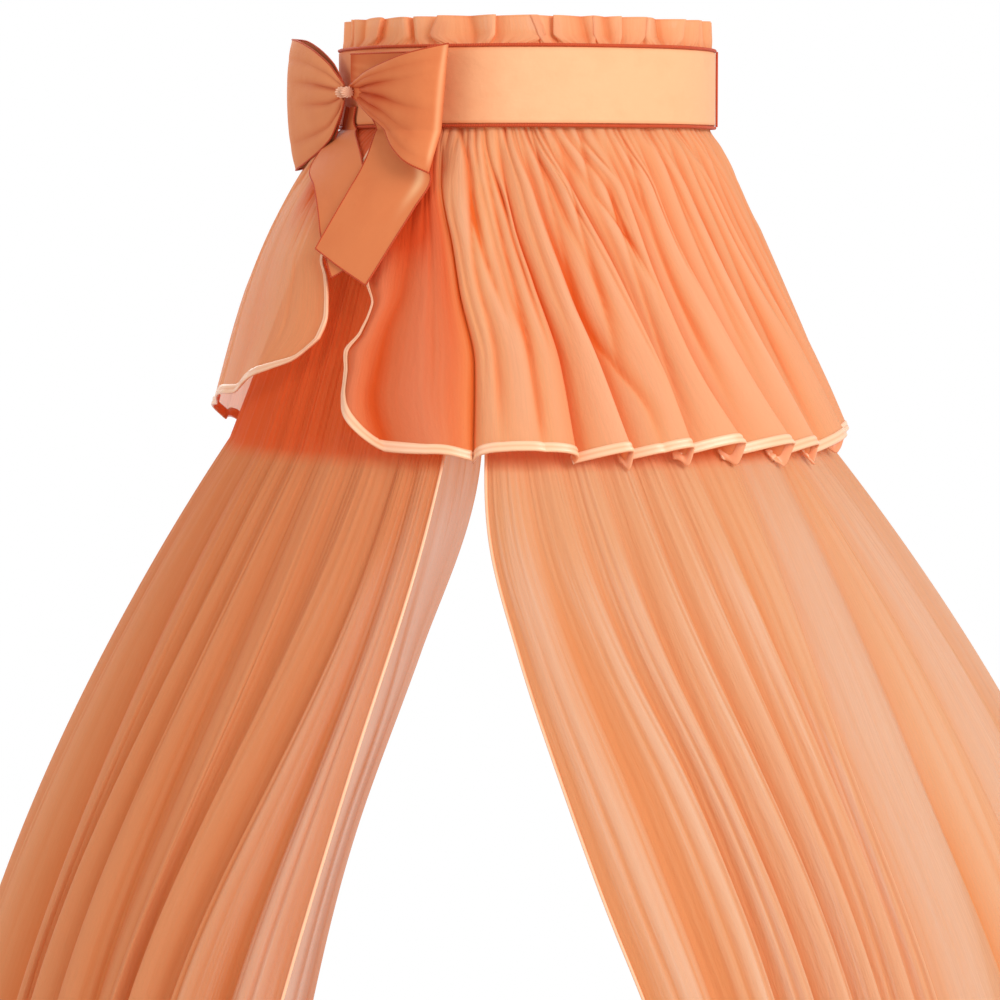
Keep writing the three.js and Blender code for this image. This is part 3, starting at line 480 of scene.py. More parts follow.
# Cut edge of the valance's cloth, from the slit round to the slit: (cloth angle, drop)
valanceCut = [(-28.8, 196), (-28.5, 213), (-27.0, 241), (-24.3, 262), (-20.6, 277), (-17, 283.5), (-12.7, 283.5),
              (4, 283.5), (27, 281), (51, 286), (64, 287), (76, 282), (90, 284), (106, 291), (120, 296), (140, 300),
              (163, 308), (192, 312), (219, 302), (236, 298), (252, 288), (266, 276), (274, 266), (283, 256),
              (292, 246), (303, 237), (312, 224), (319, 214), (323.4, 203), (324.8, 186)]
# Fine pleats that hang from the stitching under the belt, then shallow ones between the big folds
valancePleats = []
dice = np.random.RandomState(7)
spot = -27.5
while spot < 323.5:
    reach = 0.04 + 0.42 * dice.random_sample() ** 2.0
    valancePleats.append((spot, dice.uniform(-3, 3), dice.uniform(1.8, 4.4), dice.uniform(0.55, 1.0), -0.2, reach))
    spot += dice.uniform(1.8, 4.4)
spot = -17.0
while spot < 316:
    begin = dice.uniform(-0.1, 0.35)
    deep = dice.uniform(1.2, 4.0) * (0.35 if spot > 258 else 1)
    valancePleats.append((spot, dice.uniform(-1.5, 1.5), deep, dice.uniform(0.4, 1.0), begin,
                          begin + dice.uniform(0.35, 0.8)))
    spot += dice.uniform(2.4, 5.5)


def valanceRadius(angle, v):
    facing = np.maximum(0, np.cos(np.radians(angle - valance["bulgeAt"]))) ** 2
    swell = valance["bulge"] * facing * np.sqrt(np.maximum(v, 0)) * np.exp(-valance["bulgeFade"] * v * v)
    return valance["topRadius"] + (valance["hemRadius"] - valance["topRadius"]) * v + swell


def valanceAt(a, h):
    v = h / valance["drop"]
    flow = np.clip(v, 0, 1)
    f = foldsAt(valanceLines, a, flow)
    t, crest = f["t"], f["crest"]
    grow = ease(v / 0.14) * (0.4 + 0.6 * ease(v * 1.1))
    lean = f["lean"] * (0.5 + 0.5 * flow * flow) * ease(v / 0.2)
    box = f["box"] * ease(v / 0.3) * np.sin(2 * math.pi * t)  # a pleat tucked in on both sides
    angle = f["start"] + (f["end"] - f["start"]) * (t + lean * crest - box)
    plain = valanceRadius(angle, np.clip(v, 0, 1.12))
    cut = creases(valancePleats, a, flow) * ease((h + 9) / 12)
    for depth, width, begin, end, path in valanceTucks:
        away = angle - smoothLine(flow, path)
        cut = cut + depth * opening(flow, begin, end, 0.3) * nick(away, 0.6 * width, 2.0 * width)
    edge = ease(np.minimum(a - valanceLines[0]["at"], valanceLines[-1]["at"] - a) / 2.5)
    soft = waves(a * 0.11, h * 0.016, 3) * 1.5 + waves(a * 0.35, h * 0.03, 4) * 0.8
    radius = plain + valance["puff"] * ease(v / 0.06) * (1 - 0.5 * v) + grow * f["tall"] * (crest - valance["valley"])
    radius = radius - cut * (0.4 + 0.6 * crest) * edge + soft * ease(v / 0.2)
    low = ease((v - 0.15) / 0.85)
    under = valance["curl"] * dip(t - 0.82, 0.11) * (np.abs(f["lean"]) > 0.28) * ease((v - 0.62) / 0.38)
    height = valance["top"] - h + (valance["lift"] * low * (radius - plain - 1.5) - under) * edge
    radius = np.maximum(radius, curtainOutside(height) + 2.0 * ease(v / 0.2))
    # the second value is painted shade down in the grooves
    return around(radius, angle, height), 0.25 * grow * (1 - crest) ** 1.8


def valanceNormals(a, h):
    right, left, down, up, here = (valanceAt(a + aside, h + lower)[0] for aside, lower in (
        (0.15, 0), (-0.15, 0), (0, 1.0), (0, -1.0), (0, 0)))
    normal = unit(np.cross(right - left, down - up))
    away = np.sum(normal[..., :2] * here[..., :2], -1, keepdims=True)
    return np.where(np.median(away) > 0, normal, -normal)


def clothLength(a, h):
    return lengthAlong(np.stack([a * valance["perDegree"], h], -1))


def valanceEdge(count):  # the valance's whole free edge, down the slit, round the hem and up the slit
    cutA, cutH = (np.array(column, float) for column in zip(*valanceCut))
    run = clothLength(cutA, cutH)
    even = np.linspace(0, run[-1], 4000)
    hemA, hemH = smoothLine(even, list(zip(run, cutA))), smoothLine(even, list(zip(run, cutH)))
    down, up = (np.linspace(2, height, 200, endpoint=False) for height in (cutH[0], cutH[-1]))
    a = np.concatenate([np.full(200, cutA[0]), hemA, np.full(200, cutA[-1])])
    h = np.concatenate([down, hemH, up[::-1]])
    length = clothLength(a, h)
    even = np.linspace(0, length[-1], count)
    return np.interp(even, length, a), np.interp(even, length, h)


def foldReach(share):  # how far the frame's own valance folds reach in and out
    return 0.3 + 7.7 * share


def curtainLimit(share):  # how far out the frame's curtains reach, by share of the valance's drop
    spread = valance["hemRadius"] - valance["topRadius"]
    return valance["topRadius"] + spread * share - foldReach(np.minimum(1, share)) - valance["clearance"]


def curtainOutside(z):  # the same, with room below the hem for the curtains when they are drawn
    share = np.clip((valance["top"] - z) / valance["drop"], 0, 1.3)
    return curtainLimit(share) + 120.3 * np.maximum(0, share - 1.0)


def buildValance():
    start, end = valanceLines[0]["at"], valanceLines[-1]["at"]
    near = np.concatenate([np.linspace(0, 2, 26)[:-1], np.linspace(2, 6, 26)])  # closer columns beside the slit
    middle = np.linspace(start + 6, end - 6, valance["columns"])[1:-1]
    a = np.concatenate([start + near, middle, end - near[::-1]])
    cut = smoothLine(a, valanceCut)
    share = np.linspace(0, 1, valance["rows"]) ** 1.08
    h = -valance["tuck"] + (cut[:, None] + valance["tuck"] - 1.5) * share[None]
    a = np.broadcast_to(a[:, None], h.shape).copy()
    grid, shade = valanceAt(a, h)
    # Painted shade in the folds and painted highlights on their crests, less near the top and lower down on the
    # right; on the sheer left side less shade in the folds, darker towards the hem
    fold, ridge = foldShadeAndHighlight(grid, 8, 24, 0.75)
    flapShade = 0.3 * (1 - ease((a + 14.5) / 1.5))  # painted shade on the slit's right side, which hangs over the dark inside, with painted light streaks; the cloth is thinner there
    fold = np.clip(fold + shade + flapShade, 0, 1.2)
    fold = fold * (0.5 + 0.5 * ease(h / 80)) * (1 - 0.35 * ease((h - 150) / 100) * (a > 0))
    ridge = ridge * (1 - 1.5 * flapShade) + 0.5 * flapShade * np.clip(waves(a * 1.1, h * 0.004, 15) + 0.2, 0, 1)
    thin = np.maximum(0, np.cos(np.radians(a - 283))) ** 6 * ease(h / 80)  # the left side is sheerest
    fold = fold * (1 - 0.5 * thin) + 0.22 * thin * ease(h / 220)
    dense = 0.25 * (1 - ease(h / 20)) + 0.1 - 1.3 * thin - flapShade
    hidden = ease((a - 300) / 8) * (1 - ease((h - 40) / 70)) + (1 - ease((a + 20) / 6)) * (1 - ease((h - 50) / 90))
    under = np.clip(0.85 * hidden + (2.6 - 0.7 * ease(h / 220)) * flapShade, 0, 1)  # painted shade: deep red beside and under the bow, and on the slit's right side over the dark inside
    piece = gridMesh("valance_cloth", grid, valanceVoile, "crown", fold=fold, ridge=ridge, dense=dense, under=under,
                     cloth=onCloth(a * 6.2, h))
    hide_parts("valance")

    # satin ribbon folded over the edge: outside face, fold and inside face
    a, h = valanceEdge(3000)
    run = unit(np.stack([np.gradient(a) * valance["perDegree"], np.gradient(h)], -1))
    inward = np.stack([run[:, 1], -run[:, 0]], -1)
    length = clothLength(a, h)[:, None]
    slitShare = np.minimum(ease((h - 150) / 110) + ease((a - 200) / 20) * ease((330 - a) / 60), 1)
    width = (valance["ribbon"] * (0.45 + 0.55 * slitShare))[:, None]
    reach = width * np.array([1, 0.94, 0.72, 0.52, 0.3, 0.08, 0, 0.08, 0.5, 0.92, 1])
    proud = np.array([0.35, 1.0, 1.45, 0.9, 1.5, 1.2, 0, -1.0, -1.0, -0.8, -0.35])
    dark = np.array([0.9, 0.3, 0, 0.55, 0, 0.2, 0.7, 0.9, 0.9, 0.9, 0.9])  # darker at its stitching, with painted shade between its two raised ridges, at its turn and on its inside face
    ribbonA = np.clip(a[:, None] + inward[:, :1] * reach / valance["perDegree"], start, end)
    ribbonH = h[:, None] + inward[:, 1:] * reach
    grid, shade = valanceAt(ribbonA, ribbonH)
    pucker = 1 + 0.2 * waves(length * 0.35, reach * 0.1, 12)
    grid = grid + valanceNormals(ribbonA, ribbonH) * (proud * pucker)[..., None]
    ribbon = gridMesh("valance_hem_ribbon", grid, hemSatin, "crown", fold=np.clip(shade * 0.8 + dark, 0, 1),
                      cloth=onCloth(length, reach))
    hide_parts("valance_ribbon")
    return piece, ribbon


valanceCloth, valanceRibbon = buildValance()
print("valance: cloth and ribbon made")

# The curtains: c counts folds from the doorway, z is the height
curtain = {"top": -6.0, "rim": -1552.0, "hem": -334.0, "rows": 240, "hiddenRows": 49, "perFold": 46,
           "flare": 2.45, "gain": 1.12, "foldCloth": 118.0, "binding": 2.2, "bindingRows": 700, "casing": 4.95,
           "casingFrom": 3.0, "casingTo": 153.0}
backEdge = [153, 157, 160, 153.5, 147.5, 144, 142, 141, 140]
# Each side's grooves from the doorway round to the back, as angles at even steps down the cloth, then the height
# and lean of each fold between two grooves, how many layers seem to lie at a fold, and how much deeper the colour
# is beside the doorway
curtainSides = {
    "right": {"hand": 1, "rim": 666.0, "voile": rightVoile, "doorway": 0.35, "grooves": [
        [3, 3, 3, 3.2, 5.2, 10.0, 14.6, 18.6, 22.4, 25, 26.8, 28, 28.8, 29.3, 29.6, 29.8, 30],
        [8.5, 8.5, 9, 10, 12.8, 17.6, 22.4, 26, 28.8, 30.5, 31.6, 32.4, 32.8, 33, 33.2, 33.4, 33.5],
        [14, 14.4, 15.2, 17, 20, 24, 28.6, 31.6, 33.6, 34.7, 35.4, 35.8, 36, 36.3, 36.6, 36.8, 37],
        [20, 20.6, 21.6, 23.4, 26, 29, 32.6, 35.4, 37.2, 38.2, 38.7, 39, 39.2, 39.5, 39.9, 40.2, 40.5],
        [26, 26.8, 28, 29.6, 31.8, 34.3, 37.1, 39.4, 40.8, 41.5, 42, 42.2, 42.3, 42.7, 43.2, 43.6, 44],
        [32, 33, 34.2, 35.6, 37.6, 39.4, 41.2, 42.8, 43.9, 44.6, 45, 45.3, 45.4, 45.8, 46.3, 46.8, 47.2],
        [38, 39.2, 40.6, 42.2, 43.6, 44.4, 45.4, 46.4, 47.2, 47.8, 48.2, 48.3, 48.4, 48.8, 49.3, 49.8, 50.3],
        [45, 55.5, 51.8, 48.8, 50.2, 50.8, 51.5, 52.4, 53.3],
        [56, 69, 62.8, 60.3, 61.4, 61.8, 62.2, 62.6, 63], [61, 69.7, 68.9, 73.4, 78],
        [82, 85.2, 87.7, 89.9, 92], [102, 105.4, 106.7, 107.4, 108], [131, 134, 135, 133, 132], backEdge],
        "height": [0.71, 0.79, 0.86, 1, 0.82, 0.89, 0.79, 0.75, 0.79, 0.5, 0.71, 0.8, 0.6],
        "lean": [0.1, 0.36, 0.34, 0.42, 0.36, 0.4, 0.36, 0.1, 0.42, 0.12, 0.25, 0.2, 0.2],
        "layers": [(0, 0.6), (0.6, 0.55), (1.3, 0.75), (2.5, 0.85), (3.5, 0.95), (5.5, 0.8), (6.6, 0.7), (7.1, -0.5),
                   (7.8, -0.5), (8.2, 0.5), (8.8, 0.5), (9.2, -0.5), (9.8, -0.5), (10.5, -0.1), (13, 0)]},
    "left": {"hand": -1, "rim": 603.0, "voile": shadedLeftVoile, "doorway": 0.0, "grooves": [
        [3, 3.2, 5.2, 9.9, 13.8, 17, 19.5, 20.9, 22], [9, 9.5, 19.5, 23, 25.5], [15, 13.5, 26, 28.5, 30],
        [24, 22.5, 31.5, 33, 34.5], [34, 31.2, 37, 38, 39.5], [40, 37.5, 42, 43, 44.5],
        [47, 43, 47.3, 48.3, 49.8], [56, 51.8, 52.8, 53.8, 55.3], [68, 67.5, 67.5, 68.5, 69.5],
        [80, 81, 82, 83, 84], [92, 94, 95, 95.5, 96], [103, 106, 110, 106.3, 106], [133, 136, 135, 131.3, 130.5],
        backEdge],
        "height": [0.5, 0.6, 0.6, 0.62, 0.55, 0.6, 0.6, 1, 0.64, 0.6, 0.6, 1, 0.5],
        "lean": [0.1, 0.3, 0.3, -0.25, 0.3, 0.3, -0.25, 0.2, 0.3, 0.2, 0.2, 0.2, 0.3],
        "layers": [(0, 0.25), (0.6, 0.35), (1.4, 0.7), (2.4, 1.0), (3.5, 1.1), (8.5, 1.0), (9.6, 0.8), (10.6, 0.3),
                   (11.5, -0.4), (11.85, -1.6), (12.25, -1.6), (12.5, 0.1), (13, 0.1)]},
}
for side in curtainSides.values():  # shallow creases between the grooves, gathered at the top and lost lower down
    dice = np.random.RandomState(90 + side["hand"])
    side["creases"], spot = [], 0.12
    while spot < 12.9:
        begin = dice.choice([-0.3, 0.1, 0.25], p=[0.6, 0.2, 0.2])
        side["creases"].append((spot, dice.uniform(-0.14, 0.14), dice.uniform(1.2, 4.0), dice.uniform(0.03, 0.07),
                                begin, max(begin, 0) + dice.uniform(0.25, 0.9)))
        spot += dice.uniform(0.08, 0.26)


def curtainFold(z):  # half the height of the frame's own folds
    top, hem, rim = curtain["top"], curtain["hem"], curtain["rim"]
    above = 2.2 + 2.3 * (top - z) / (top - hem)
    return np.where(z > hem, above, 4.5 + 9.5 * np.clip(2 * (hem - z) / (hem - rim), 0, 1))


def behindValance(z):
    return curtainLimit(np.clip((valance["top"] - z) / valance["drop"], 0, 2)) - curtainFold(z)


def curtainRadius(z, rim):  # middle of the cloth, as the frame has it
    top, hem = curtain["top"], curtain["hem"]
    begun = np.clip((top - z) / (top - valance["top"]), 0, 1)
    under = hoopRadius + (behindValance(np.minimum(z, valance["top"])) - hoopRadius) * begun
    free = np.clip((hem - z) / (hem - curtain["rim"]), 0, 1)
    start = behindValance(np.array(hem))
    return np.where(z > hem, under, start + (rim - start) * (1 - (1 - free) ** curtain["flare"]))


def curtainAt(side, c, z):
    drop = (curtain["top"] - z) / (curtain["top"] - curtain["rim"])
    count = len(side["height"])
    k = np.clip(c.astype(int), 0, count - 1)
    t = c - k
    start, end = linesBeside(np.stack([alongList(line, drop) for line in side["grooves"]]), k)
    middles = np.arange(count) + 0.5
    crest = arch(t) ** (1 / 1.35)
    free = ease((curtain["hem"] + 30 - z) / 420)  # 0 under the valance, 1 where the cloth hangs free
    begun = ease((curtain["top"] - z) / 60)
    lean = np.interp(c, middles, side["lean"]) * (0.3 + 0.7 * free) * begun * (1 - 0.3 * ease((drop - 0.45) / 0.4))
    angle = start + (end - start) * (t + lean * crest)
    high = np.interp(c, middles, side["height"])
    wave = curtainFold(z) * high * (2 * crest - 1) * (1 + (curtain["gain"] - 1) * free) * begun
    cut = creases(side["creases"], c, drop)
    shirr = np.cos(c * 37 + 0.8 * np.sin(c * 11)) + 0.5 * np.cos(c * 71 + 2)
    fine = 1 - ease((-240 - z) / 300)
    soft = waves(c * 1.3, z * 0.006, 21) * 2.4 + waves(c * 4.1, z * 0.010, 22) * 1.2
    radius = curtainRadius(z, side["rim"]) + wave - cut * (0.3 + 0.7 * crest) * (0.25 + 0.75 * free)
    radius = radius + 0.7 * shirr * fine * begun + soft * free * (0.3 + 0.7 * crest)
    # painted shade down in the grooves and in the shirring's hollows
    shade = 0.15 * (1 - crest) ** 1.6 + 0.2 * fine * (shirr < -0.4)
    return around(radius, side["hand"] * angle, z + 0 * angle), shade


def buildCurtain(name):
    side = curtainSides[name]
    count = len(side["height"])
    top, hem, rim = curtain["top"], curtain["hem"], curtain["rim"]
    c = np.linspace(0, count, count * curtain["perFold"] + 1)
    z = np.concatenate([np.linspace(top, hem, curtain["hiddenRows"] + 1)[:-1],
                        np.linspace(hem, rim, curtain["rows"] - curtain["hiddenRows"])])
    c, z = np.meshgrid(c, z, indexing="ij")
    grid, shade = curtainAt(side, np.minimum(c, count - 1e-6), z)
    free = ease((-300 - z) / 200)
    # painted shade under the valance's hem, where the gathered cloth is also denser
    under = 1 - ease((-331 - z) / 16)
    fold, ridge = foldShadeAndHighlight(grid * [side["hand"], 1, 1], 4, 16, 0.55)
    fold = np.clip(shade + fold * free, 0, 1.2) + side["doorway"] * (1 - ease((c - 1.1) / 0.6)) * free
    layers = np.interp(c, *zip(*side["layers"]))
    gathered, turned = 0.5 * (1 - ease((hem - z) / 130)), 0.6 * ease((-1526 - z) / 2)  # at the top, and at the hem
    dense = np.clip(1.4 * under + layers + gathered + turned, -2, 1.1)
    piece = gridMesh(f"{name}_curtain_cloth", grid, side["voile"], f"{name}_drape", fold=fold, dense=dense,
                     ridge=ridge * free, under=under, cloth=onCloth(c * curtain["foldCloth"], -z))
    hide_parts(f"{name}_curtain")

    # narrow satin binding rolled over the doorway edge
    width = curtain["binding"]
    reach = np.array([-0.8, -0.5, 0.3 * width, 0.7 * width, width, 1.05 * width, 0.8 * width, 0.4 * width, -0.8])
    proud = np.array([0.2, 0.7, 0.95, 0.8, 0.25, -0.2, -0.6, -0.7, -0.3])
    z = np.linspace(top, rim, curtain["bindingRows"])[:, None] + 0 * reach
    edge, inside = (curtainAt(side, 0 * z + within, z)[0] for within in (0, 0.02))
    onward = unit(edge - inside)
    facing = unit(np.cross(onward, np.gradient(edge, axis=0)))
    facing *= np.sign(np.sum(facing[..., :2] * edge[..., :2], -1, keepdims=True))
    edge = edge + onward * reach[:, None] + facing * proud[:, None]
    dark = (reach < 0) + 0.15 + 0 * z
    binding = gridMesh(f"{name}_curtain_edge", edge, hemSatin, f"{name}_drape", fold=dark, cloth=onCloth(-z, reach))
    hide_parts(f"{name}_curtain_binding")

    # shirred casing round the wire
    angle, section = np.meshgrid(np.linspace(curtain["casingFrom"], curtain["casingTo"], 520),
                                 np.linspace(0, 2 * math.pi, 18, endpoint=False), indexing="ij")
    gather = curtain["casing"] + 0.45 * np.cos(angle * 2.6 + 0.6 * np.sin(angle * 0.7))
    gather = gather + 0.2 * np.sin(angle * 5.1 + section)
    grid = around(hoopRadius + gather * np.cos(section), side["hand"] * angle, gather * np.sin(section))
    pocket = gridMesh(f"{name}_shirred_casing", grid, pocketVoile, f"{name}_drape", ringDown=True,
                      fold=(gather < 4.8) * 0.5, dense=np.full(angle.shape, 0.8),
                      cloth=onCloth(angle * 2.8, section * 5))
    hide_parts(f"{name}_rod_pocket")
    return piece, binding


leftCurtain, leftEdge = buildCurtain("left")
rightCurtain, rightEdge = buildCurtain("right")
print("curtains: cloth, bindings and casings made")

frill = {"radius": 170.6, "foot": 12.8, "rise": 35.2, "tall": 10.5, "columns": 1800, "rows": 30}


def buildFrill():
    dice = np.random.RandomState(31)
    lines, at = [], 0.0
    while at < 349:
        wide = dice.choice([4, 6.5, 9, 12, 15], p=[0.18, 0.22, 0.24, 0.2, 0.16]) * dice.uniform(0.9, 1.1)
        lines.append(groove(at, frill["tall"] * dice.uniform(0.6, 1.0) * min(1, wide / 6),
                            dice.choice([-1, 1]) * dice.uniform(0.25, 0.6), dice.choice([1.3, 1.8, 2.4]),
                            (0, at), (0.4, at + dice.uniform(-1.0, 1.0)), (1, at + dice.uniform(-1.6, 1.6))))
        at += wide
    lines.append(groove(360, 8, 0.2, 1, (0, 360), *[(v, angle + 360) for v, angle in lines[0]["path"][1:]]))
    a, s = np.meshgrid(np.linspace(0, 360, frill["columns"], endpoint=False), np.linspace(0, 1, frill["rows"]),
                       indexing="ij")
    f = foldsAt(lines, a, s)
    free = ease((s - 0.16) / 0.4)
    angle = f["start"] + (f["end"] - f["start"]) * (f["t"] + f["lean"] * f["crest"] * free)
    fine = np.cos(a * 2.9 + 1.1 * np.sin(a * 0.8)) + 0.6 * np.cos(a * 4.7)
    radius = frill["radius"] - 1.5 * s + free * (f["tall"] * f["crest"] - 8.0)
    radius += fine * (0.3 + 0.3 * ease(s / 0.3)) * (1 - ease((s - 0.15) / 0.35))
    radius = np.minimum(radius, frill["radius"] + 1.0 + 30 * ease((s - 0.24) / 0.2))  # behind the belt at its foot
    height = frill["foot"] + frill["rise"] * s + (waves(a * 0.1, s * 0.2, 33) * 1.2 + 0.8 * (f["crest"] - 0.5)) * s
    grid = around(radius, angle + 180, height)
    # Painted shade in the hollows and between the fine gathers, and darker towards its foot; painted highlights on
    # the crests
    fold, ridge = foldShadeAndHighlight(grid, 6, 24, 0.6)
    fold = np.clip(0.8 * fold + 0.15 * (fine < -0.5) * (1 - s) + 0.3 * (1 - ease(s / 0.6)), 0, 1.2)
    dense = 0.3 + 0.4 * (1 - ease((s - 0.2) / 0.3)) + 0.5 * ease((s - 0.94) / 0.03)
    piece = gridMesh("header_ruffle", grid, frillVoile, "crown", ringAcross=True, fold=fold, ridge=ridge,
                     dense=dense, cloth=onCloth(a * 5.0, s * 36))
    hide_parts("header_frill")
    return piece


headerRuffle = buildFrill()
print("frill: made")

belt = {"radius": 173.7, "top": 20.5, "bottom": -46.5, "bowAt": -49.0, "stiffRadius": 171.4, "cordRadius": 173.5,
        "cordAbove": 22.3, "cordBelow": -48.3, "cord": 1.5, "stiffTop": 12.3, "stiffBottom": -38.3, "stiffThick": 1.6,
        "seamAt": 98.0, "seamRadius": 175.2, "seam": 1.1}


def ringGrid(radii, heights, count):
    angle = np.linspace(180, 540, count, endpoint=False)  # joined at the back
    angle, radius = np.meshgrid(angle, radii, indexing="ij")
    return angle, radius, np.broadcast_to(heights, angle.shape)


def buildBelt():
    top, bottom, r = belt["top"], belt["bottom"], belt["radius"]
    radii = [r - 0.9, r - 0.3, r + 0.2, *np.full(30, r + 0.3), r + 0.2, r - 0.3, r - 0.9]
    heights = [bottom + 0.2, bottom + 0.1, bottom + 0.5, *np.linspace(bottom + 1.2, top - 1.2, 30),
               top - 0.5, top - 0.1, top - 0.2]
    angle, radius, height = ringGrid(radii, heights, 1080)
    soft = 0.16 * waves(angle * 0.12, height * 0.03, 41) + 0.10 * waves(angle * 0.5, height * 0.09, 42)
    radius = radius + ease((height - bottom) / 8) * ease((top - height) / 8) * soft
    # darker along its top and bottom edges
    fold = np.clip(0.55 * (1 - ease((height - bottom) / 2.5)) + 0.4 * (1 - ease((top - height) / 2.5)), 0, 1)
    beside = (angle + 180 - belt["bowAt"]) % 360 - 180  # painted shadow of the bow on the belt beside it
    fold = np.clip(fold + 0.75 * dip(beside, 34) + 0.35 * dip(beside - 38, 12), 0, 1)
    piece = gridMesh("belt_satin_band", around(radius, angle, height), beltSatin, "crown", ringAcross=True,
                     fold=fold, cloth=onCloth(angle * 3.03, height))
    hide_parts("satin_belt")

    heights = np.linspace(belt["stiffBottom"], belt["stiffTop"], 14)
    angle, radius, height = ringGrid(np.full(14, belt["stiffRadius"]), heights, 480)
    stiff = gridMesh("belt_buckram_band", around(radius, angle, height), buckram, "crown", ringAcross=True,
                     thickness=belt["stiffThick"], cloth=onCloth(angle * 3.0, height))
    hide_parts("belt_stiffener")

    turn = np.linspace(0, 360, 720, endpoint=False)
    radius = belt["cordRadius"] + 0.1 * np.sin(np.radians(turn * 9))
    for name, node, height in (("belt_top_cord", "belt_top_piping", belt["cordAbove"]),
                               ("belt_bottom_cord", "belt_bottom_piping", belt["cordBelow"])):
        path = around(radius, turn, height + 0.15 * np.sin(np.radians(turn * 7)))
        cord = tube(name, path, belt["cord"], rustCord, "crown", ring=True)
        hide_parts(node)
    path = around(belt["seamRadius"], belt["seamAt"], np.linspace(top + 1, bottom - 1, 60))
    seam = tube("belt_closing_cord", path, belt["seam"], rustCord, "crown")
    return piece


beltBand = buildBelt()
print("belt: made")

bow = {
    "knotAngle": -49.0, "knotHeight": -15.0, "knotWidth": 13.0, "loopBack": 184.45, "leftBend": 600.0,
    "knotOut": 8.5, "knotAside": 1.6, "knotDown": 2.5, "knotDeep": 6.5, "knotTall": 5.2, "ribs": 13,
    "thread": 0.45, "threads": (-2.4, 0.0, 2.4), "threadDeep": 5.2, "threadTall": 4.1,
    "firstTail": 176.15, "tailClear": 3.15, "tailLength": 155.0, "tailWidth": 60.0,
    "cord": 0.85, "cloth": 0.8, "slant": 0.085,
    "path": [(0, 0.42), (0.3, 0.8), (0.8, 1.0), (1.0, 0.5), (0.8, 0.05), (0.3, 0.0), (0, 0.2)],
}
# A loop's edges are (share of its length, height of its top edge, height of its lower edge) from the knot; each of
# its creases is (share of the height at the knot, same at the end, depth, reach)
loops = {
    "left": {"hand": -1, "length": 122.0, "depth": 11.0, "lean": 2.0, "backTop": 0, "gleam": 0.2,
             "edges": [(0, 4, -10), (0.1, 14, -30), (0.21, 24, -45), (0.53, 40, -61), (0.79, 47, -69), (1, 49, -72)],
             "creases": [(0.2, 0.16, 5.0, 0.62), (-0.02, -0.02, 4.0, 0.5), (0.38, 0.34, 2.0, 0.9),
                         (-0.34, -0.3, 3.0, 0.8)]},
    "right": {"hand": 1, "length": 119.0, "depth": 13.0, "lean": 3.0, "backTop": 31.5, "gleam": 0.0,
              "edges": [(0, 4, -6), (0.12, 9, -13), (0.28, 16, -23), (0.48, 23, -36), (0.65, 29, -53),
                        (0.8, 33, -65), (1, 38, -75)],
              "creases": [(0.12, 0.3, 6.5, 0.6), (-0.02, -0.02, 6.5, 0.68), (-0.2, -0.26, 4.5, 0.62),
                          (0.32, 0.4, 2.5, 0.8), (-0.38, -0.42, 2.0, 0.9)]},
}


def valanceBack(angle, height):  # how far out the frame's own valance reaches under the bow
    share = np.clip((valance["top"] - height) / valance["drop"], 0, 1)
    return valanceRadius(angle, share) + foldReach(share)


def tailRadius(angle, height):
    return np.maximum(bow["firstTail"], valanceBack(angle, height) + bow["tailClear"])


def bowPoint(along, out, height):  # along from the knot and out from the loops' back
    knot, back = bow["knotAngle"], bow["loopBack"]
    angle = knot + np.degrees(np.maximum(along, 0) / back)
    wrapped = around(back + tailRadius(angle, height) - bow["firstTail"] + out, angle, height)
    bend = bow["leftBend"]
    centre = around(bend - back, knot, 0.0)
    bent = around(bend + out, knot + np.degrees(np.minimum(along, 0) / bend), height) - centre
    return np.where((along >= 0)[..., None], wrapped, bent)


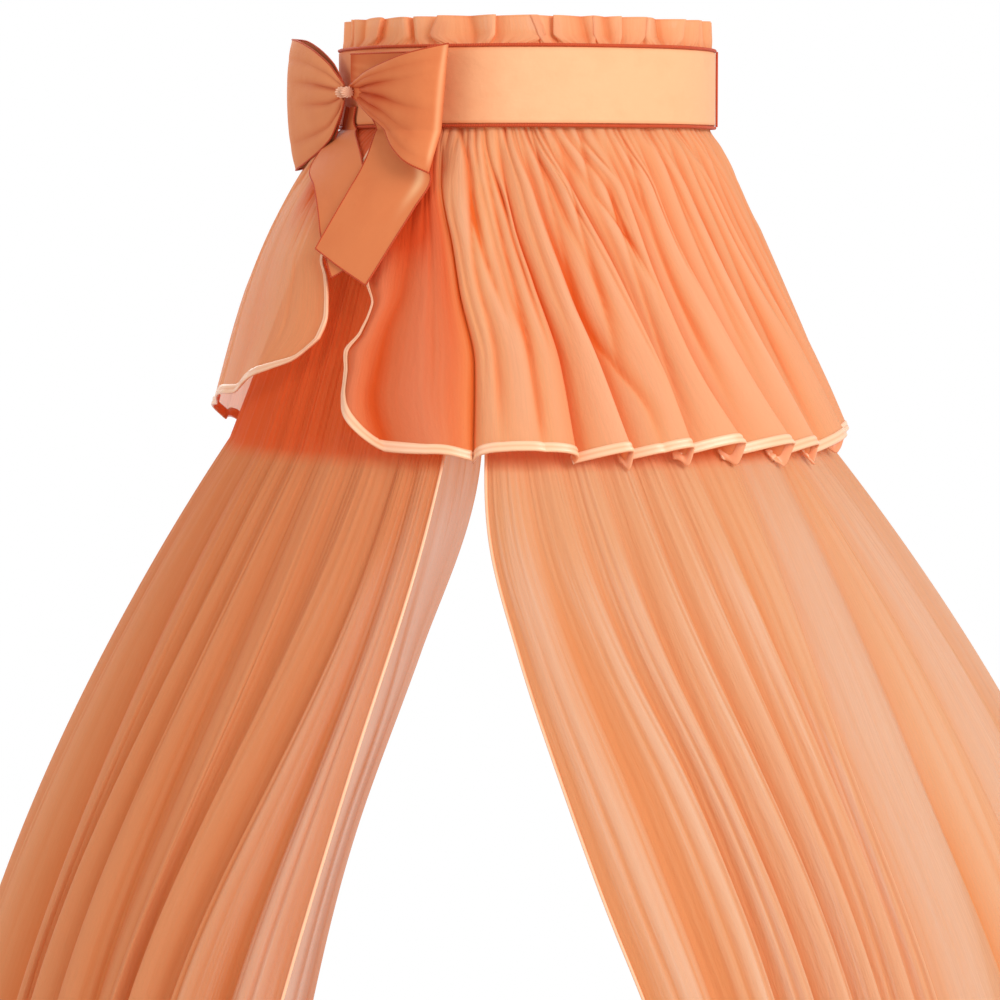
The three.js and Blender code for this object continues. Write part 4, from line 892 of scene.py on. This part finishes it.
def buildLoop(name):
    loop = loops[name]
    column = np.linspace(0, 1, 180)
    path = alongList([(x * loop["length"], y * loop["depth"] + loop["lean"] * x) for x, y in bow["path"]], column)
    column, c = np.meshgrid(column, np.linspace(-0.5, 0.5, 81), indexing="ij")
    along, out = np.broadcast_to(path[:, :1], c.shape), np.broadcast_to(path[:, 1:], c.shape)
    share = np.clip(along / loop["length"], 0, 1)
    top = smoothLine(share, [(s, high) for s, high, _ in loop["edges"]])
    low = smoothLine(share, [(s, deep) for s, _, deep in loop["edges"]])
    front = 1 - ease((column - 0.42) / 0.1)
    top = top + (np.maximum(top, loop["backTop"]) - top) * (1 - front)  # the back layer isn't drawn in at the knot
    tall = top - low
    cut, light = np.zeros_like(c), np.zeros_like(c)
    width = 1.0 + 4.0 * share
    for knot, end, deep, reach in loop["creases"]:
        away = (c - knot - (end - knot) * share) * tall
        fade = np.exp(-(share / reach) ** 3) * ease(share / 0.05)
        cut += deep * fade * nick(away, 2.6 * width, width)
        light += fade * dip(away + 2.2 * width, 1.6 * width)
    swell = np.cos(math.pi * c) ** 0.8 * 5.0 * ease(share / 0.4) * front
    curl = -2.5 * (2 * np.abs(c)) ** 6 * front
    soft = 0.9 * waves(along * 0.03, c * tall * 0.04, 51) * ease(share / 0.3)
    out = out + swell + curl - cut * front + soft
    along = bow["knotWidth"] / 2 + 0.3 + along * (1 - bow["slant"] * (0.5 - c) * share)
    grid = bowPoint(loop["hand"] * along, out, bow["knotHeight"] + low + tall * (c + 0.5))
    # Painted shade in the creases, near the knot and on the back layer; painted highlights beside the creases and
    # along the loop's outer fold, and painted light over the whole left loop
    shade = np.clip(cut / 5.0, 0, 1) * front + 0.5 * (1 - ease(share / 0.1)) + 0.35 * (1 - front)
    gleam = loop["gleam"] + dip(share - 0.985, 0.016) * front * ease((c + 0.5) / 0.15) * 0.8
    piece = gridMesh(f"bow_{name}_loop_satin", grid, bowSatin, "crown", thickness=bow["cloth"],
                     fold=np.clip(shade - 0.25 * np.clip(light, 0, 1), 0, 1), ridge=gleam,
                     cloth=onCloth(lengthAlong(path)[:, None], c * tall))
    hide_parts(f"bow_{name}_loop")
    for label, row in (("lower", 0), ("upper", -1)):
        edge = tube(f"bow_{name}_loop_{label}_cord", grid[:, row], bow["cord"], rustCord, "crown")


tails = {  # both edges of each tail from the knot down, as (angle, height)
    "left": {
        "layer": 0.0, "gleam": 0.0,
        "left": [(-57, -30), (-62, -55), (-61.5, -84), (-52.2, -101.6), (-45.5, -123), (-40.0, -150), (-33.5, -182)],
        "right": [(-50.5, -30), (-51.5, -46), (-43.6, -62), (-38.6, -75), (-33.6, -96), (-30, -125), (-26, -163)]},
    "right": {
        "layer": 2.9, "gleam": 1.0,
        "left": [(-44, -30), (-38.5, -45), (-35.8, -66), (-35.4, -85), (-36.6, -105), (-38.3, -130), (-40.2, -157)],
        "right": [(-36, -28), (-26, -50), (-19.2, -72), (-13.9, -95), (-16.6, -121), (-19.8, -149), (-23.9, -188)]},
}


def buildTail(name):
    layer = tails[name]["layer"]
    share = np.linspace(0, 1, 130)
    left, right = alongList(tails[name]["left"], share), alongList(tails[name]["right"], share)
    c = np.linspace(-0.5, 0.5, 61)[None]
    place = left[:, None] + (right - left)[:, None] * (c + 0.5)[..., None]
    angle, height = place[..., 0], place[..., 1]
    share = share[:, None]
    run, across = bow["tailLength"] * share, bow["tailWidth"] * c
    ripple = 0.6 * np.cos(4 * math.pi * c) * (1 - ease(share / 0.4)) + 0.8 * waves(run * 0.03, across * 0.05, 61)
    lift = (2 * np.abs(c)) ** 4 * ease(share / 0.5)
    grid = around(tailRadius(angle, height) + layer + 0.6 * ripple + lift, angle, height)
    # Painted shade near the knot, under the loops, and in the ripples; a painted highlight stripe on the right tail
    shade = np.clip(0.6 * (1 - ease(share / 0.3)) + 0.12 * ripple, 0, 1)
    gleam = tails[name]["gleam"] * dip(c - 0.36, 0.06) * dip(share - 0.5, 0.14)
    piece = gridMesh(f"bow_{name}_tail_satin", grid, bowSatin, "crown", thickness=bow["cloth"], fold=shade,
                     ridge=gleam, cloth=onCloth(run, across))
    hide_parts(f"bow_{name}_tail")
    edge = np.concatenate([grid[:, 0], grid[-1, 1:], grid[::-1, -1][1:]])
    cord = tube(f"bow_{name}_tail_cord", edge, bow["cord"], rustCord, "crown")


def knotPoint(out, along, up):
    angle = bow["knotAngle"] + bow["knotAside"] + np.degrees(along / 190)
    return around(bow["loopBack"] + bow["knotOut"] + out, angle, bow["knotHeight"] - bow["knotDown"] + up)


def buildKnot():
    turn, s = np.meshgrid(np.linspace(0, 2 * math.pi, 160, endpoint=False), np.linspace(-1, 1, 44), indexing="ij")
    rib = np.cos(turn * bow["ribs"] + 1.5 * s)
    thick = (1 - 0.3 * dip(s, 0.5)) * (1 + 0.09 * rib) * np.sqrt(np.clip(1 - s ** 8, 0, 1))  # least in the middle
    along = bow["knotWidth"] * 0.62 * s
    grid = knotPoint(bow["knotDeep"] * thick * np.cos(turn), along, bow["knotTall"] * thick * np.sin(turn))
    # painted shade in the grooves between the gathers
    piece = gridMesh("bow_gathered_knot", grid, knotSatin, "crown", ringAcross=True, fold=0.5 * (rib < -0.2),
                     cloth=onCloth(along, turn * 6))
    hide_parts("bow_knot")
    turn = np.linspace(0, 2 * math.pi, 60, endpoint=False)
    for i, along in enumerate(bow["threads"]):
        path = knotPoint(bow["threadDeep"] * np.cos(turn), along + 0.3 * np.sin(turn * 3 + i),
                         bow["threadTall"] * np.sin(turn))
        wrap = tube(f"bow_thread_{i + 1}", path, bow["thread"], paleThread, "crown", ring=True, sides=6)


for name in loops:
    buildLoop(name)
for name in tails:
    buildTail(name)
buildKnot()
print("bow: loops, tails and knot made")

tabs = {"front_hanging_tab": 0.0, "back_left_hanging_tab": -169.3, "back_right_hanging_tab": 169.3}  # angles
tab = {"wireRadius": 4.4, "width": 12.0, "thickness": 1.2,
       "leaf": [(6.0, 4.6), (8.4, 3.6), (9.2, 0.0), (9.2, -6), (9.2, -12), (9.2, -17.6)]}  # out from the wire, and up


def buildTab(node, angle):
    turn = np.radians(np.linspace(20, 360 + 90, 60))[::4]
    ring = tab["wireRadius"] * np.stack([np.cos(turn), np.sin(turn)], -1)
    path = alongList(np.vstack([ring, tab["leaf"]]), np.linspace(0, 1, 120))
    s = np.linspace(-0.5, 0.5, 15) * tab["width"]
    grid = around(hoopRadius + path[:, :1], angle + np.degrees(s / hoopRadius), path[:, 1:])
    piece = gridMesh(node + "_tape", grid, nappedTape, "crown", thickness=tab["thickness"],
                     cloth=onCloth(lengthAlong(path)[:, None], s))
    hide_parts(node)


for node, angle in tabs.items():
    buildTab(node, angle)

# Hard parts stay as the frame has them, with their own finish
for node, finish in (("hoop", zincWire), ("left_set_screw", zincWire), ("right_set_screw", zincWire),
                     ("mast_head", mouldedPlastic), ("mast_clamp_screw", mouldedPlastic)):
    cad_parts[node].data.materials.clear()
    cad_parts[node].data.materials.append(finish.material)
print("tabs and carried-over parts: finished")

stage = {"floor": -1.5415, "floorRadius": 2.6, "fill": 0.5}
lamps = {
    "key": {"place": (3.0, -2.7, 1.5), "aim": -0.4, "size": 2.4, "energy": 138.0, "colour": (1.0, 0.98, 0.95)},
    "left": {"place": (-2.8, -2.6, 0.8), "aim": -0.4, "size": 2.2, "energy": 34.0, "colour": (1.0, 0.99, 0.98)},
    "back": {"place": (-2.2, 2.4, 1.4), "aim": -0.5, "size": 2.0, "energy": 30.0, "colour": (1.0, 0.99, 0.98)},
}
view = {"sensor": 36.0, "lens": 135.36, "distance": 3.5, "azimuth": 11.0, "height": -0.086, "down": 4.834,
        "aside": math.atan(27 / 3760)}


def buildFloor():
    s = Shader("paleFloor")
    grain = s.noise(s.objectPlace((6.0, 6.0, 6.0)), 3.0)
    colour = s.blendColour(grain, paint(236, 234, 231), paint(244, 242, 239))
    s.principled({"Base Color": colour, "Roughness": 0.7})
    mesh = bpy.data.meshes.new("floor")
    sides, rings = 64, 12
    points, faces = [(0, hoopCentre[1], stage["floor"])], []
    for ring in range(rings):
        radius, first = stage["floorRadius"] * (ring + 1) / rings, 1 + ring * sides
        for i in range(sides):
            angle, j = 2 * math.pi * i / sides, (i + 1) % sides
            points.append((radius * math.sin(angle), hoopCentre[1] - radius * math.cos(angle), stage["floor"]))
            inner = (0,) if ring == 0 else (first - sides + i,)
            faces.append((*inner, first + i, first + j) + (() if ring == 0 else (first - sides + j,)))
    mesh.from_pydata(points, [], faces)
    mesh.materials.append(s.material)
    floor = bpy.data.objects.new("floor", mesh)
    scene.collection.objects.link(floor)


def buildWorld():  # plain white where it is seen or mirrored, softer where it lights
    s = Shader("studio", bpy.data.worlds)
    scene.world = s.material
    camera, glossy, clear = (s.node("ShaderNodeLightPath", output=f"Is {ray} Ray")
                             for ray in ("Camera", "Glossy", "Transmission"))
    seen = s.node("ShaderNodeMath", {"operation": "MAXIMUM"}, {
        0: camera, 1: s.node("ShaderNodeMath", {"operation": "MAXIMUM"}, {0: glossy, 1: clear})})
    light = s.node("ShaderNodeBackground", {}, {"Color": (1.0, 0.985, 0.97, 1), "Strength": stage["fill"]})
    backdrop = s.node("ShaderNodeBackground", {}, {"Color": (1, 1, 1, 1)})
    s.surface(s.blendShader(seen, light, backdrop), "ShaderNodeOutputWorld")


def buildLamp(name, lamp):
    data = bpy.data.lights.new(name, "AREA")
    data.size, data.energy, data.color = lamp["size"], lamp["energy"], lamp["colour"]
    light = bpy.data.objects.new(name, data)
    light.location = lamp["place"]
    aim = np.array((0, hoopCentre[1], lamp["aim"])) - lamp["place"]
    light.rotation_euler = (math.acos(-aim[2] / np.linalg.norm(aim)), 0, math.atan2(aim[1], aim[0]) - math.pi / 2)
    scene.collection.objects.link(light)


def buildCamera():
    data = bpy.data.cameras.new("photo")
    data.sensor_width, data.lens = view["sensor"], view["lens"]
    camera = bpy.data.objects.new("photo", data)
    azimuth, back = math.radians(view["azimuth"]), view["distance"]
    camera.location = (back * math.sin(azimuth), hoopCentre[1] - back * math.cos(azimuth), view["height"])
    camera.rotation_euler = (math.radians(90 - view["down"]), 0, azimuth + view["aside"])
    scene.collection.objects.link(camera)
    scene.camera = camera


buildFloor()
buildWorld()
for name, lamp in lamps.items():
    buildLamp(name, lamp)
buildCamera()
scene.view_settings.view_transform = "Standard"
print("stage: floor, light and camera made")
